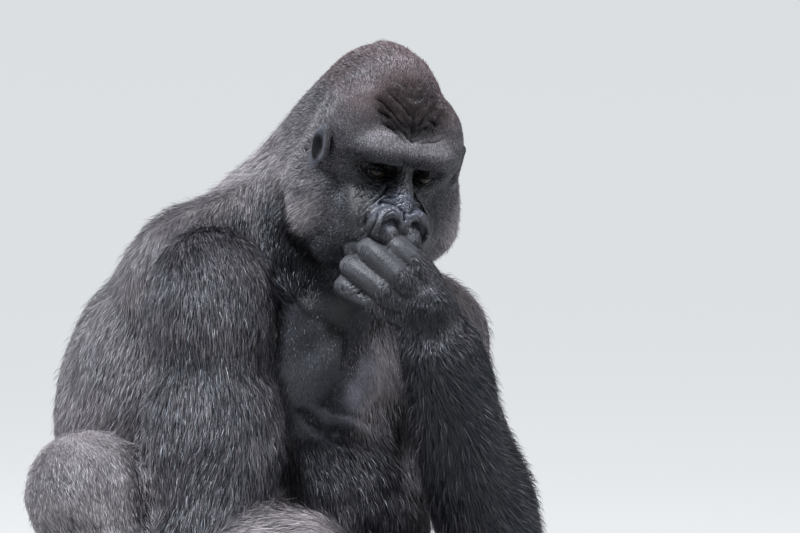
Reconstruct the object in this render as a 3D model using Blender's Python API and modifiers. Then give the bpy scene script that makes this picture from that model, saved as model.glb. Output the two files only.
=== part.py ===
"""A life-size silverback gorilla, seated, with its left fist held to its mouth.

Metres, +Z up. The animal faces -Y, so its own right side is at -X. Every solid is the outline of the
body with its coat on. Muscles are ellipsoids and tapered limbs fused by a voxel remesh, and each
fused blob is then parted at its joints by planes.
"""

import math

import bmesh
import bpy
from mathutils import Matrix, Vector

# ---- Driving dimensions --------------------------------------------------------------------------

GAP = 0.0004  # clearance between neighbouring solids
UPPER_ARM = 0.41
FOREARM = 0.36
THIGH = 0.37
SHANK = 0.31
HIP_SPREAD = 0.12  # each hip joint from the middle plane
HIP_HEIGHT = 0.15
EYE_RADIUS = 0.0125
EYE_SPREAD = 0.038  # each eye from the middle plane of the head
EAR_SPREAD = 0.113
RIGHT, LEFT = -1, 1  # the animal's own sides, as signs of X
WORD = {RIGHT: "right", LEFT: "left"}
BLADE_HEIGHT = {RIGHT: 0.70, LEFT: 0.665}  # the shoulder blades; the left arm's rests lower

HEAD_AT = Vector((0.028, -0.224, 0.900))  # midway between the ears
HEAD_YAW = 20.0  # turned to its own right
HEAD_PITCH = 17.0  # bowed
HEAD_ROLL = 10.0  # leaning towards the propping fist

# How many triangles are left in each fused mass before it is cut.
HEAD_TRIANGLES = 1550
TRUNK_TRIANGLES = 820
ARM_TRIANGLES = 420
HAND_TRIANGLES = 640
LEG_TRIANGLES = 370
FOOT_TRIANGLES = 350

# ---- Colours, as linear values -------------------------------------------------------------------

COAT = (0.055, 0.055, 0.065)
SILVER = (0.22, 0.22, 0.23)
BARE_SKIN = (0.035, 0.036, 0.042)
EYE_BROWN = (0.06, 0.03, 0.012)


def clear_scene():
    for obj in list(bpy.data.objects):
        bpy.data.objects.remove(obj, do_unlink=True)


def new_collection(name, shown):
    collection = bpy.data.collections.new(name)
    bpy.context.scene.collection.children.link(collection)
    collection.hide_render = not shown
    return collection


clear_scene()
PARTS = new_collection("gorilla", shown=True)
CUTTERS = new_collection("cutters", shown=False)


def material(name, colour, roughness):
    mat = bpy.data.materials.new(name)
    mat.use_nodes = True
    shader = mat.node_tree.nodes["Principled BSDF"]
    shader.inputs["Base Color"].default_value = (*colour, 1.0)
    shader.inputs["Roughness"].default_value = roughness
    shader.inputs["Metallic"].default_value = 0.0
    return mat


FUR = material("coat", COAT, 0.75)
SILVER_FUR = material("silver_coat", SILVER, 0.75)
SKIN = material("bare_skin", BARE_SKIN, 0.5)
IRIS = material("eye", EYE_BROWN, 0.1)


# ---- Modelling helpers ---------------------------------------------------------------------------


def turn_to(direction, side=Vector((1, 0, 0))):
    """A rotation whose Z runs along direction, and whose X lies as near to side as it can."""
    along = direction.normalized()
    across = side - along * side.dot(along)
    if across.length < 1e-4:
        across = Vector((0, 1, 0)).cross(along)
    across.normalize()
    return Matrix((across, along.cross(across), along)).transposed()


def mass(blob, centre, radii, turn=Matrix.Identity(3)):
    """An ellipsoid, such as a muscle; turn's columns are the directions of its three radii."""
    place = Matrix.Translation(centre) @ turn.to_4x4() @ Matrix.Diagonal((*radii, 1))
    bmesh.ops.create_icosphere(blob, subdivisions=4, radius=1, matrix=place)


def limb(blob, start, end, start_radius, end_radius):
    """A tapered round limb with ball ends."""
    axis = end - start
    place = Matrix.Translation((start + end) / 2) @ turn_to(axis).to_4x4()
    bmesh.ops.create_cone(
        blob,
        cap_ends=True,
        segments=32,
        radius1=start_radius,
        radius2=end_radius,
        depth=axis.length,
        matrix=place,
    )
    for point, radius in ((start, start_radius), (end, end_radius)):
        bmesh.ops.create_icosphere(blob, subdivisions=3, radius=radius, matrix=Matrix.Translation(point))


def chain(blob, points, radii):
    """Limbs end to end, such as a finger or a ridge."""
    for i in range(len(points) - 1):
        limb(blob, points[i], points[i + 1], radii[i], radii[i + 1])


def evaluated_mesh(obj):
    bpy.context.view_layer.update()
    graph = bpy.context.evaluated_depsgraph_get()
    return bpy.data.meshes.new_from_object(obj.evaluated_get(graph), depsgraph=graph)


def bake_modifiers(obj):
    """Makes what the modifiers show the object's own mesh."""
    mesh = evaluated_mesh(obj)
    obj.modifiers.clear()
    obj.data = mesh
    return obj


def mesh_object(name, blob):
    mesh = bpy.data.meshes.new(name)
    blob.to_mesh(mesh)
    blob.free()
    obj = bpy.data.objects.new(name, mesh)
    PARTS.objects.link(obj)
    return obj


def fuse(blob, voxel, smoothing, triangles):
    """One closed skin round all the masses of a blob, smoothed where they meet, and thinned out."""
    obj = mesh_object("fused", blob)
    remesh = obj.modifiers.new("fuse", "REMESH")
    remesh.mode = "VOXEL"
    remesh.voxel_size = voxel
    smooth = obj.modifiers.new("smooth", "SMOOTH")
    smooth.factor = 0.5
    smooth.iterations = smoothing
    bake_modifiers(obj)
    quads = len(obj.data.polygons)
    decimate = obj.modifiers.new("thin", "DECIMATE")
    decimate.ratio = min(1.0, triangles / (2 * quads))
    decimate.use_collapse_triangulate = True
    return bake_modifiers(obj)


def box_of(obj):
    """The lowest and the highest corner of an object's box."""
    points = [obj.matrix_world @ vertex.co for vertex in obj.data.vertices]
    low = [min(point[axis] for point in points) for axis in range(3)]
    high = [max(point[axis] for point in points) for axis in range(3)]
    return low, high


def copy_of(obj, name):
    twin = bpy.data.objects.new(name, obj.data.copy())
    PARTS.objects.link(twin)
    return twin


def as_cutter(obj):
    """Takes an object out of the model and leaves it as a hidden cutter."""
    if obj.name in PARTS.objects:
        PARTS.objects.unlink(obj)
    if obj.name not in CUTTERS.objects:
        CUTTERS.objects.link(obj)
    obj.hide_render = True
    obj.display_type = "WIRE"
    return obj


def cut(obj, cutter):
    boolean = obj.modifiers.new("cut", "BOOLEAN")
    boolean.operation = "DIFFERENCE"
    boolean.solver = "EXACT"
    boolean.object = cutter
    return bake_modifiers(obj)


def half_space(point, direction, size=2.5):
    """A big block that fills the side of a plane that direction points to."""
    block = bmesh.new()
    bmesh.ops.create_cube(block, size=size)
    obj = mesh_object("half_space", block)
    middle = point + direction.normalized() * size / 2
    obj.matrix_world = Matrix.Translation(middle) @ turn_to(direction).to_4x4()
    return as_cutter(obj)


def keep_side(obj, point, direction):
    """Keeps what lies on the side of a plane that direction points to, less half a gap."""
    away = -direction.normalized()
    return cut(obj, half_space(point - away * GAP / 2, away))


def part_at(obj, near_name, far_name, point, direction):
    """Parts obj at a plane: the far piece is on the side that direction points to."""
    far = copy_of(obj, far_name)
    obj.name = near_name
    keep_side(obj, point, -direction)
    keep_side(far, point, direction)
    return obj, far


def fold_plane(before, joint, after):
    """The direction square to the plane that halves a joint, pointing to the far limb."""
    return ((after - joint).normalized() - (before - joint).normalized()).normalized()


def room_for(obj):
    """A hidden copy of obj, grown by the clearance, that cuts its room out of its neighbours."""
    room = as_cutter(copy_of(obj, "room_for_" + obj.name))
    displace = room.modifiers.new("grow", "DISPLACE")
    displace.strength = GAP * 1.4
    displace.mid_level = 0.0
    return bake_modifiers(room)


def stand_on_floor(obj):
    """Trims a small flat where the piece presses on the floor."""
    return cut(obj, half_space(Vector((0, 0, 0)), Vector((0, 0, -1))))


# ---- The skeleton: where each joint is -----------------------------------------------------------


def reach(start, towards, length):
    """The point at this length from start, on the way towards another point."""
    return start + (towards - start).normalized() * length


SHOULDER = {RIGHT: Vector((-0.212, -0.09, 0.70)), LEFT: Vector((0.245, -0.03, 0.61))}
ELBOW = {
    RIGHT: reach(SHOULDER[RIGHT], Vector((-0.258, -0.17, 0.34)), UPPER_ARM),
    LEFT: reach(SHOULDER[LEFT], Vector((0.172, -0.31, 0.32)), UPPER_ARM),
}
WRIST = {
    RIGHT: reach(ELBOW[RIGHT], Vector((-0.02, -0.385, 0.195)), FOREARM),
    LEFT: reach(ELBOW[LEFT], Vector((-0.008, -0.400, 0.663)), FOREARM * 1.055),  # wrist held straight
}
HIP = {side: Vector((side * HIP_SPREAD, 0.08, HIP_HEIGHT)) for side in (RIGHT, LEFT)}
KNEE = {
    RIGHT: reach(HIP[RIGHT], Vector((-0.405, -0.03, 0.375)), THIGH),
    LEFT: reach(HIP[LEFT], Vector((0.215, -0.27, 0.15)), THIGH),
}
ANKLE = {
    RIGHT: reach(KNEE[RIGHT], Vector((-0.345, -0.17, 0.085)), SHANK),
    LEFT: reach(KNEE[LEFT], Vector((-0.02, -0.44, 0.07)), SHANK),
}

# The head's own directions, as columns: its left, its front and its crown.
HEAD_TURN = (
    Matrix.Rotation(math.radians(-HEAD_YAW), 3, "Z")
    @ Matrix.Rotation(math.radians(HEAD_PITCH), 3, "X")
    @ Matrix.Rotation(math.radians(HEAD_ROLL), 3, "Y")
    @ Matrix(((1, 0, 0), (0, -1, 0), (0, 0, 1)))
)


def on_head(left, front, up):
    """A point given in the head's own directions."""
    return HEAD_AT + HEAD_TURN @ Vector((left, front, up))


# ---- The trunk, neck and head --------------------------------------------------------------------


def trunk_masses():
    blob = bmesh.new()
    mass(blob, Vector((0, 0.11, 0.18)), (0.245, 0.195, 0.18))  # pelvis
    mass(blob, Vector((0, -0.01, 0.31)), (0.25, 0.215, 0.22))  # belly
    mass(blob, Vector((0, 0.055, 0.47)), (0.27, 0.235, 0.25))  # lower ribs
    mass(blob, Vector((0, 0.055, 0.58)), (0.26, 0.20, 0.20))  # upper ribs
    mass(blob, Vector((0, 0.03, 0.755)), (0.20, 0.12, 0.10))  # yoke of the shoulders
    for side in (RIGHT, LEFT):
        mass(blob, Vector((side * 0.12, 0.14, 0.115)), (0.135, 0.145, 0.13))  # buttock
        mass(blob, Vector((side * 0.15, 0.12, 0.29)), (0.14, 0.15, 0.17))  # flank
        mass(blob, Vector((side * 0.19, 0.14, 0.45)), (0.145, 0.135, 0.25))  # broad back muscle
        mass(blob, Vector((side * 0.14, 0.055, BLADE_HEIGHT[side])), (0.135, 0.12, 0.125))  # shoulder blade
        mass(blob, Vector((side * 0.10, -0.115, 0.575)), (0.125, 0.085, 0.115))  # breast
        limb(blob, Vector((side * 0.03, -0.05, 0.81)), Vector((side * 0.14, 0.01, 0.73)), 0.085, 0.085)
    return blob


def neck_masses(blob):
    limb(blob, Vector((0, 0.0, 0.70)), on_head(0, -0.03, -0.02), 0.16, 0.112)
    limb(blob, Vector((0, 0.03, 0.74)), on_head(0, -0.062, 0.065), 0.14, 0.098)  # nape
    limb(blob, Vector((0, -0.10, 0.64)), on_head(0, 0.01, -0.10), 0.10, 0.08)  # throat


def head_masses():
    blob = bmesh.new()
    turn = HEAD_TURN
    mass(blob, on_head(0, -0.008, 0.002), (0.116, 0.112, 0.172), turn)  # skull
    crest = [on_head(0, f, u) for f, u in ((0.055, 0.085), (0.015, 0.122), (-0.05, 0.124), (-0.085, 0.09))]
    chain(blob, crest, (0.050, 0.053, 0.052, 0.060))
    mass(blob, on_head(0, 0.045, -0.01), (0.090, 0.060, 0.080), turn)  # face
    limb(blob, on_head(0, 0.075, -0.02), on_head(0, 0.108, -0.075), 0.040, 0.052)  # slope of the muzzle
    mass(blob, on_head(0, 0.092, -0.100), (0.066, 0.075, 0.055), turn)  # muzzle
    mass(blob, on_head(0, 0.065, -0.145), (0.062, 0.065, 0.038), turn)  # chin
    limb(blob, on_head(0, 0.108, 0.02), on_head(0, 0.150, -0.050), 0.014, 0.020)  # bridge of the nose
    for side in (RIGHT, LEFT):
        mass(blob, on_head(side * 0.056, 0.038, 0.040), (0.060, 0.060, 0.088), turn)  # temple
        mass(blob, on_head(side * 0.087, 0.0, -0.074), (0.058, 0.080, 0.107), turn)  # cheek
        mass(blob, on_head(side * 0.048, 0.055, -0.085), (0.050, 0.072, 0.068), turn)  # side of the muzzle
        mass(blob, on_head(side * 0.028, 0.156, -0.066), (0.024, 0.024, 0.023), turn)  # nose wing
        brow = ((0, 0.106, 0.040), (0.045, 0.104, 0.042), (0.088, 0.068, 0.028))
        chain(blob, [on_head(side * s, f, u) for s, f, u in brow], (0.022, 0.024, 0.021))
    return blob


def eyeball(side):
    blob = bmesh.new()
    place = Matrix.Translation(on_head(side * EYE_SPREAD, 0.098, 0.003))
    bmesh.ops.create_icosphere(blob, subdivisions=2, radius=EYE_RADIUS, matrix=place)
    return mesh_object("eye", blob)


def eye_socket(side):
    blob = bmesh.new()
    mass(blob, on_head(side * EYE_SPREAD, 0.118, 0.004), (0.021, 0.024, 0.013), HEAD_TURN)
    return as_cutter(fuse(blob, 0.004, 1, 160))


def ear(side):
    """A small cupped ear that stands a little off the side of the head."""
    turn = HEAD_TURN @ Matrix.Rotation(math.radians(side * 32), 3, "Z")
    centre = on_head(side * EAR_SPREAD, 0.016, -0.004)
    shell, hollow = bmesh.new(), bmesh.new()
    mass(shell, centre, (0.014, 0.022, 0.033), turn)
    mass(hollow, centre + turn @ Vector((side * 0.011, 0.002, 0.001)), (0.011, 0.015, 0.025), turn)
    return cut(fuse(shell, 0.004, 2, 150), as_cutter(fuse(hollow, 0.004, 2, 80)))


# ---- Arms and hands ------------------------------------------------------------------------------


def arm_masses(side):
    """The arm with its coat, which hangs fuller on the right arm than on the raised left one."""
    upper_girth, lower_girth = (0.118, 0.092) if side == RIGHT else (0.082, 0.080)
    shoulder, elbow, wrist = SHOULDER[side], ELBOW[side], WRIST[side]
    upper, lower = elbow - shoulder, wrist - elbow
    turn = turn_to(upper, Vector((1, -0.6, 0)))
    blob = bmesh.new()
    mass(blob, shoulder + upper * 0.12, (0.108, 0.118, 0.145), turn)  # deltoid
    limb(blob, shoulder, elbow, 0.090, 0.088)
    mass(blob, shoulder + upper * 0.60, (upper_girth, 0.100, 0.17), turn)  # upper arm muscle
    mass(blob, elbow - lower * 0.06 + upper * 0.04, (0.085, 0.085, 0.085))  # elbow hair
    limb(blob, elbow, wrist, 0.090, 0.066)
    mass(blob, elbow + lower * 0.36, (lower_girth, 0.092, 0.14), turn_to(lower))  # forearm
    return blob


def hand_turn(along, back):
    """A hand's directions as columns: across from thumb to little finger, back, and reach."""
    reach_axis = along.normalized()
    back_axis = (back - reach_axis * back.dot(reach_axis)).normalized()
    return Matrix((reach_axis.cross(back_axis), back_axis, reach_axis)).transposed()


def hand_masses(side, along, back, curls, spread=0.035):
    """Palm, four fingers and a thumb. curls are the bends at the knuckle and the two finger joints."""
    wrist = WRIST[side]
    turn = hand_turn(along, back)
    across = turn.col[0] * -side
    blob = bmesh.new()
    forearm = wrist - ELBOW[side]
    limb(blob, wrist - forearm.normalized() * 0.06, wrist, 0.062, 0.052)
    palm = wrist + turn.col[2] * 0.06
    mass(blob, palm, (0.068, 0.034, 0.075), turn)
    for finger in range(4):
        sideways = across * (finger - 1.5) * spread
        long = 1.0 - 0.10 * abs(finger - 1.3)
        knuckle = wrist + turn.col[2] * (0.108 - 0.008 * abs(finger - 1.0)) + sideways
        points, bend = [knuckle], 0.0
        for curl, bone in zip(curls, (0.062, 0.042, 0.030)):
            bend += math.radians(curl)
            step = turn.col[2] * math.cos(bend) - turn.col[1] * math.sin(bend)
            points.append(points[-1] + step * bone * long)
        chain(blob, [wrist + sideways * 0.5, *points], (0.026, 0.0245, 0.025, 0.022, 0.017))
    thumb_root = wrist + turn.col[2] * 0.025 - across * 0.045 - turn.col[1] * 0.01
    thumb_knuckle = thumb_root + turn.col[2] * 0.05 - across * 0.022 - turn.col[1] * 0.016
    thumb_tip = thumb_knuckle + turn.col[2] * 0.045 - turn.col[1] * 0.012
    chain(blob, (thumb_root, thumb_knuckle, thumb_tip), (0.024, 0.019, 0.015))
    return blob


# ---- Legs and feet -------------------------------------------------------------------------------


def leg_masses(side):
    hip, knee, ankle = HIP[side], KNEE[side], ANKLE[side]
    upper, lower = knee - hip, ankle - knee
    blob = bmesh.new()
    limb(blob, hip, knee, 0.14, 0.10)
    mass(blob, hip + upper * 0.45, (0.125, 0.125, 0.19), turn_to(upper))
    mass(blob, knee - upper * 0.02, (0.108, 0.108, 0.12), turn_to(upper))
    limb(blob, knee, ankle, 0.092, 0.060)
    mass(blob, knee + lower * 0.38, (0.088, 0.088, 0.13), turn_to(lower))
    return blob


def foot_masses(side, toes_at, sole):
    """Heel, sole, four toes and the big toe that stands out like a thumb. sole points down from it."""
    ankle = ANKLE[side]
    turn = hand_turn(toes_at - ankle, -sole)
    inner, forward = turn.col[0] * side, turn.col[2]
    shin = (KNEE[side] - ankle).normalized()
    blob = bmesh.new()
    limb(blob, ankle + shin * 0.06, ankle, 0.062, 0.054)
    limb(blob, ankle, ankle + sole * 0.035 - forward * 0.055, 0.050, 0.037)  # heel
    limb(blob, ankle + sole * 0.02, ankle + sole * 0.045 + forward * 0.13, 0.045, 0.026)  # instep
    mass(blob, ankle + sole * 0.045 + forward * 0.10, (0.055, 0.026, 0.075), turn)  # ball of the foot
    for toe in range(4):
        sideways = inner * (0.0285 - 0.027 * toe)
        root = ankle + sole * 0.048 + forward * (0.145 - 0.012 * toe) + sideways
        middle = root + forward * (0.042 - 0.004 * toe) - sole * 0.004
        tip = middle + forward * 0.026 + sole * 0.006
        chain(blob, (ankle + sole * 0.045 + forward * 0.06, root, middle, tip), (0.024, 0.019, 0.017, 0.014))
    big_root = ankle + sole * 0.046 + forward * 0.05 + inner * 0.035
    big_knuckle = big_root + forward * 0.045 + inner * 0.036
    big_tip = big_knuckle + forward * 0.042 + inner * 0.008
    chain(blob, (big_root, big_knuckle, big_tip), (0.026, 0.021, 0.017))
    return blob


# ---- Building ------------------------------------------------------------------------------------


def build_blobs():
    """Every fused mass, whole, from the firmest to the one that gives way to all the others."""
    right_hand = hand_masses(RIGHT, Vector((0.30, -0.80, -0.45)), Vector((-0.1, -0.35, 0.9)), (20, 30, 20))
    left_hand = hand_masses(LEFT, Vector((-0.63, 0.49, 0.60)), Vector((-0.62, -0.79, 0.20)), (38, 92, 60))
    right_foot = foot_masses(RIGHT, Vector((-0.27, -0.40, 0.03)), Vector((0, 0, -1)))
    left_foot = foot_masses(LEFT, Vector((-0.24, -0.50, 0.05)), Vector((0.25, 0.35, -0.9)).normalized())
    head_blob, trunk_blob = head_masses(), trunk_masses()
    neck_masses(head_blob)
    neck_masses(trunk_blob)
    blobs = {
        "eye_right": eyeball(RIGHT),
        "eye_left": eyeball(LEFT),
        "ear_right": ear(RIGHT),
        "ear_left": ear(LEFT),
        "hand_left": fuse(left_hand, 0.005, 3, HAND_TRIANGLES),
        "hand_right": fuse(right_hand, 0.005, 3, HAND_TRIANGLES),
        "foot_left": fuse(left_foot, 0.006, 3, FOOT_TRIANGLES),
        "foot_right": fuse(right_foot, 0.006, 3, FOOT_TRIANGLES),
        "arm_left": fuse(arm_masses(LEFT), 0.010, 25, ARM_TRIANGLES),
        "arm_right": fuse(arm_masses(RIGHT), 0.010, 25, ARM_TRIANGLES),
        "leg_left": fuse(leg_masses(LEFT), 0.010, 20, LEG_TRIANGLES),
        "leg_right": fuse(leg_masses(RIGHT), 0.010, 20, LEG_TRIANGLES),
        "head": fuse(head_blob, 0.006, 5, HEAD_TRIANGLES),
        "trunk": fuse(trunk_blob, 0.012, 25, TRUNK_TRIANGLES),
    }
    for name, blob in blobs.items():
        blob.name = name
    return blobs


def same_limb(one, other):
    """Neighbours that grow into each other, and so are parted by a plane."""
    grown_together = ({"hand", "arm"}, {"foot", "leg"}, {"head", "trunk"})
    kinds = {one.split("_")[0], other.split("_")[0]}
    return kinds in grown_together and one.split("_")[1:] == other.split("_")[1:]


def boxes_meet(one, other):
    low_a, high_a = box_of(one)
    low_b, high_b = box_of(other)
    return all(low_a[axis] < high_b[axis] and low_b[axis] < high_a[axis] for axis in range(3))


def give_way(blobs):
    """Cuts from each blob the room of every firmer one that it meets."""
    rooms = {name: room_for(blob) for name, blob in blobs.items()}
    names = list(blobs)
    for later in range(1, len(names)):
        for firmer in names[:later]:
            if not same_limb(names[later], firmer) and boxes_meet(blobs[names[later]], rooms[firmer]):
                cut(blobs[names[later]], rooms[firmer])


def part_core(head, trunk):
    for side in (RIGHT, LEFT):
        cut(head, eye_socket(side))
    nape = on_head(0, -0.075, -0.06)
    upwards = (HEAD_TURN @ Vector((0, 0.75, 0.66))).normalized()
    keep_side(head, nape, upwards)
    keep_side(trunk, nape, -upwards)
    trunk, neck = part_at(trunk, "trunk", "neck", Vector((0, -0.06, 0.775)), Vector((0, -0.55, 0.83)))
    abdomen, chest = part_at(trunk, "abdomen", "chest", Vector((0, 0, 0.43)), Vector((0, 0.12, 1)))
    return [head, neck, chest, abdomen]


def part_arm(side, arm, hand):
    bend = fold_plane(SHOULDER[side], ELBOW[side], WRIST[side])
    upper, fore = part_at(arm, "upper_arm_" + WORD[side], "forearm_" + WORD[side], ELBOW[side], bend)
    way = (WRIST[side] - ELBOW[side]).normalized()
    cuff = WRIST[side] - way * 0.02
    return [upper, keep_side(fore, cuff, -way), keep_side(hand, cuff, way)]


def part_leg(side, leg, foot):
    bend = fold_plane(HIP[side], KNEE[side], ANKLE[side])
    thigh, shank = part_at(leg, "thigh_" + WORD[side], "shank_" + WORD[side], KNEE[side], bend)
    way = (ANKLE[side] - KNEE[side]).normalized()
    cuff = ANKLE[side] - way * 0.03
    return [thigh, keep_side(shank, cuff, -way), keep_side(foot, cuff, way)]


def drop_crumbs(obj):
    """Keeps only the largest of the bodies that the cuts may have left in a mesh."""
    mesh = bmesh.new()
    mesh.from_mesh(obj.data)
    waiting = set(mesh.verts)
    islands = []
    while waiting:
        first = waiting.pop()
        island, front = {first}, [first]
        while front:
            vertex = front.pop()
            near = {edge.other_vert(vertex) for edge in vertex.link_edges} & waiting
            waiting -= near
            island |= near
            front.extend(near)
        islands.append(island)
    islands.sort(key=len)
    for island in islands[:-1]:
        bmesh.ops.delete(mesh, geom=list(island), context="VERTS")
    mesh.to_mesh(obj.data)
    mesh.free()


def centre_on_origin(pieces):
    """Hangs every piece on an empty that brings the middle of the box's bottom to the origin."""
    boxes = [box_of(piece) for piece in pieces]
    low = [min(box[0][axis] for box in boxes) for axis in range(3)]
    high = [max(box[1][axis] for box in boxes) for axis in range(3)]
    stance = bpy.data.objects.new("stance", None)
    PARTS.objects.link(stance)
    stance.location = (-(low[0] + high[0]) / 2, -(low[1] + high[1]) / 2, 0)
    for piece in pieces:
        piece.parent = stance


def dress(piece):
    """Gives a piece the one material of its kind."""
    kind = piece.name.split("_")[0]
    look = {"eye": IRIS, "ear": SKIN, "hand": SKIN, "foot": SKIN, "thigh": SILVER_FUR, "abdomen": SILVER_FUR}
    piece.data.materials.clear()
    piece.data.materials.append(look.get(kind, FUR))


def build():
    blobs = build_blobs()
    give_way(blobs)
    pieces = [blobs[name] for name in ("eye_right", "eye_left", "ear_right", "ear_left")]
    pieces += part_core(blobs["head"], blobs["trunk"])
    for side in (RIGHT, LEFT):
        pieces += part_arm(side, blobs["arm_" + WORD[side]], blobs["hand_" + WORD[side]])
        pieces += part_leg(side, blobs["leg_" + WORD[side]], blobs["foot_" + WORD[side]])
    for piece in pieces:
        if box_of(piece)[0][2] < 0:
            stand_on_floor(piece)
        drop_crumbs(piece)
        dress(piece)
    centre_on_origin(pieces)


build()
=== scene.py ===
# %% [markdown]
# # A seated silverback gorilla
#
# This lesson dresses a plain solid model of a gorilla. Each solid is the outline of one part
# of the body with its coat on. We lay one skin inside all of them, sculpt the face, the fists
# and the feet, and then grow a coat of thin mesh blades that fills the space up to the outline.

import math

import bmesh
import bpy
import numpy as np
from mathutils import Matrix, Vector
from mathutils.bvhtree import BVHTree
from mathutils.kdtree import KDTree


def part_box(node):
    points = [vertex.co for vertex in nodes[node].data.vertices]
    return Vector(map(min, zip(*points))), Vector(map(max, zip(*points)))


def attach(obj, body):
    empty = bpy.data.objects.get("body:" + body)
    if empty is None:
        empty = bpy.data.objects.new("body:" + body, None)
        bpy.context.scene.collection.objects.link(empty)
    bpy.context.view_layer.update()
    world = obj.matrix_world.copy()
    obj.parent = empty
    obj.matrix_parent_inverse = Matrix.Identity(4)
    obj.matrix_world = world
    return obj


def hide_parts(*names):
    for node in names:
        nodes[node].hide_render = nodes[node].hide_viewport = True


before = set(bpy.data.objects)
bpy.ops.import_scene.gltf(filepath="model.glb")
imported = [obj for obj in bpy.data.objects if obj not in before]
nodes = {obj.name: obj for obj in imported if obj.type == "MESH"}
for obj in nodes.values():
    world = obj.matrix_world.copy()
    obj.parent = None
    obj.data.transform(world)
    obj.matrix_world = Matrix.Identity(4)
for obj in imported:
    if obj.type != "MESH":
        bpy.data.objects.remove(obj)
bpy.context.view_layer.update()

# %% [markdown]
# ## Read the solids
#
# Every solid is one part of the body. Welding the corners of its flat faces gives it smooth
# normals, which we need to swell or shrink it. A search tree per solid will tell us later
# which part of the body any point belongs to.


# %% Weld the solids
def welded(name):
    """The mesh of one solid, with the split corners of its flat faces joined."""
    mesh = bmesh.new()
    mesh.from_mesh(nodes[name].data)
    bmesh.ops.remove_doubles(mesh, verts=mesh.verts, dist=1e-5)
    mesh.normal_update()
    return mesh


solids = {name: welded(name) for name in sorted(nodes)}
surfaces = {name: BVHTree.FromBMesh(mesh) for name, mesh in solids.items()}
print(len(solids), "solids welded")

# %% [markdown]
# ## Directions of head and limbs
#
# The head is turned, bowed and leaning. Sculpting is far easier in the head's own directions,
# so we keep a small frame for it: left, front and up, starting midway between the ears.

# %% Set up the head's own directions
HEAD_YAW, HEAD_PITCH, HEAD_ROLL = -20, 17, 10
EYE_FRONT, EYE_UP = 0.098, 0.003


def middle(name):
    low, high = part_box(name)
    return (low + high) / 2


head_turn = (
    Matrix.Rotation(math.radians(HEAD_YAW), 3, "Z")
    @ Matrix.Rotation(math.radians(HEAD_PITCH), 3, "X")
    @ Matrix.Rotation(math.radians(HEAD_ROLL), 3, "Y")
    @ Matrix(((1, 0, 0), (0, -1, 0), (0, 0, 1)))
)
eye_at = {side: middle(f"eye_{side}") for side in ("right", "left")}
eye_radius = (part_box("eye_right")[1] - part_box("eye_right")[0]).x / 2
head_at = (eye_at["right"] + eye_at["left"]) / 2 - head_turn @ Vector((0, EYE_FRONT, EYE_UP))


def on_head(left, front, up):
    """A point given in the head's own directions."""
    return head_at + head_turn @ Vector((left, front, up))


def from_head(points):
    """Many points, measured from the head's middle."""
    return points - np.array(head_at)


def in_head(points):
    """Many points, turned into the head's own directions."""
    return from_head(points) @ np.array(head_turn)


print("head at", [round(v, 3) for v in head_at], "eye radius", round(eye_radius, 4))

# %% [markdown]
# ## Where the viewer stands
#
# A long lens from a few metres keeps the proportions calm, as in a wildlife portrait. The
# camera stands at the animal's right front, a little above the height of its elbows.

# %% Place the camera
VIEW_TURN = math.radians(-38)
VIEW_RISE = math.radians(4)
VIEW_DISTANCE = 7.244
LENS_LENGTH = 200  # millimetres
AIM_FROM_HEAD = Vector((0.1223, 0.1066, -0.1884))

towards_viewer = Vector((
    math.sin(VIEW_TURN) * math.cos(VIEW_RISE),
    -math.cos(VIEW_TURN) * math.cos(VIEW_RISE),
    math.sin(VIEW_RISE),
))
lens = bpy.data.cameras.new("portrait_lens")
lens.lens = LENS_LENGTH
camera = bpy.data.objects.new("portrait_camera", lens)
bpy.context.scene.collection.objects.link(camera)
camera.location = head_at + AIM_FROM_HEAD + towards_viewer * VIEW_DISTANCE
camera.rotation_mode = "QUATERNION"
camera.rotation_quaternion = (-towards_viewer).to_track_quat("-Z", "Y")
bpy.context.scene.camera = camera
print("camera at", [round(v, 2) for v in camera.location])

# %% [markdown]
# The limbs need only a stick figure: where each joint is, measured from the head. Hair lies
# along these bones, and the fists and feet hang on their ends.

# %% Draw the stick figure
SIDES = {"right": -1, "left": 1}
STICK = {
    "shoulder": {"right": (-0.240, 0.134, -0.200), "left": (0.217, 0.194, -0.290)},
    "elbow": {"right": (-0.291, 0.046, -0.597), "left": (0.144, -0.086, -0.580)},
    "wrist": {"right": (-0.031, -0.175, -0.712), "left": (-0.028, -0.172, -0.253)},
    "hip": {"right": (-0.148, 0.304, -0.750), "left": (0.092, 0.304, -0.750)},
    "knee": {"right": (-0.426, 0.197, -0.531), "left": (0.189, -0.053, -0.750)},
    "ankle": {"right": (-0.375, 0.060, -0.804), "left": (-0.057, -0.222, -0.833)},
}


def joint(name, side):
    return head_at + Vector(STICK[name][side])


def bone(start, end, side):
    """The direction from one joint to another, as a unit vector."""
    return np.array((joint(end, side) - joint(start, side)).normalized())


for side in SIDES:
    print(side, "wrist at", [round(v, 3) for v in joint("wrist", side)])

# %% [markdown]
# ## Clay: balls, limbs and paths
#
# Flesh is built as a sculptor adds clay: overlapping balls and rolls, fused by the voxel
# Remesh modifier and then smoothed. These few helpers are all the clay that we need.


# %% Write the clay helpers
def add_ball(clay, centre, radii, turn=Matrix.Identity(3)):
    place = Matrix.Translation(centre) @ turn.to_4x4() @ Matrix.Diagonal((*radii, 1))
    bmesh.ops.create_icosphere(clay, subdivisions=3, radius=1, matrix=place)


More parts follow.
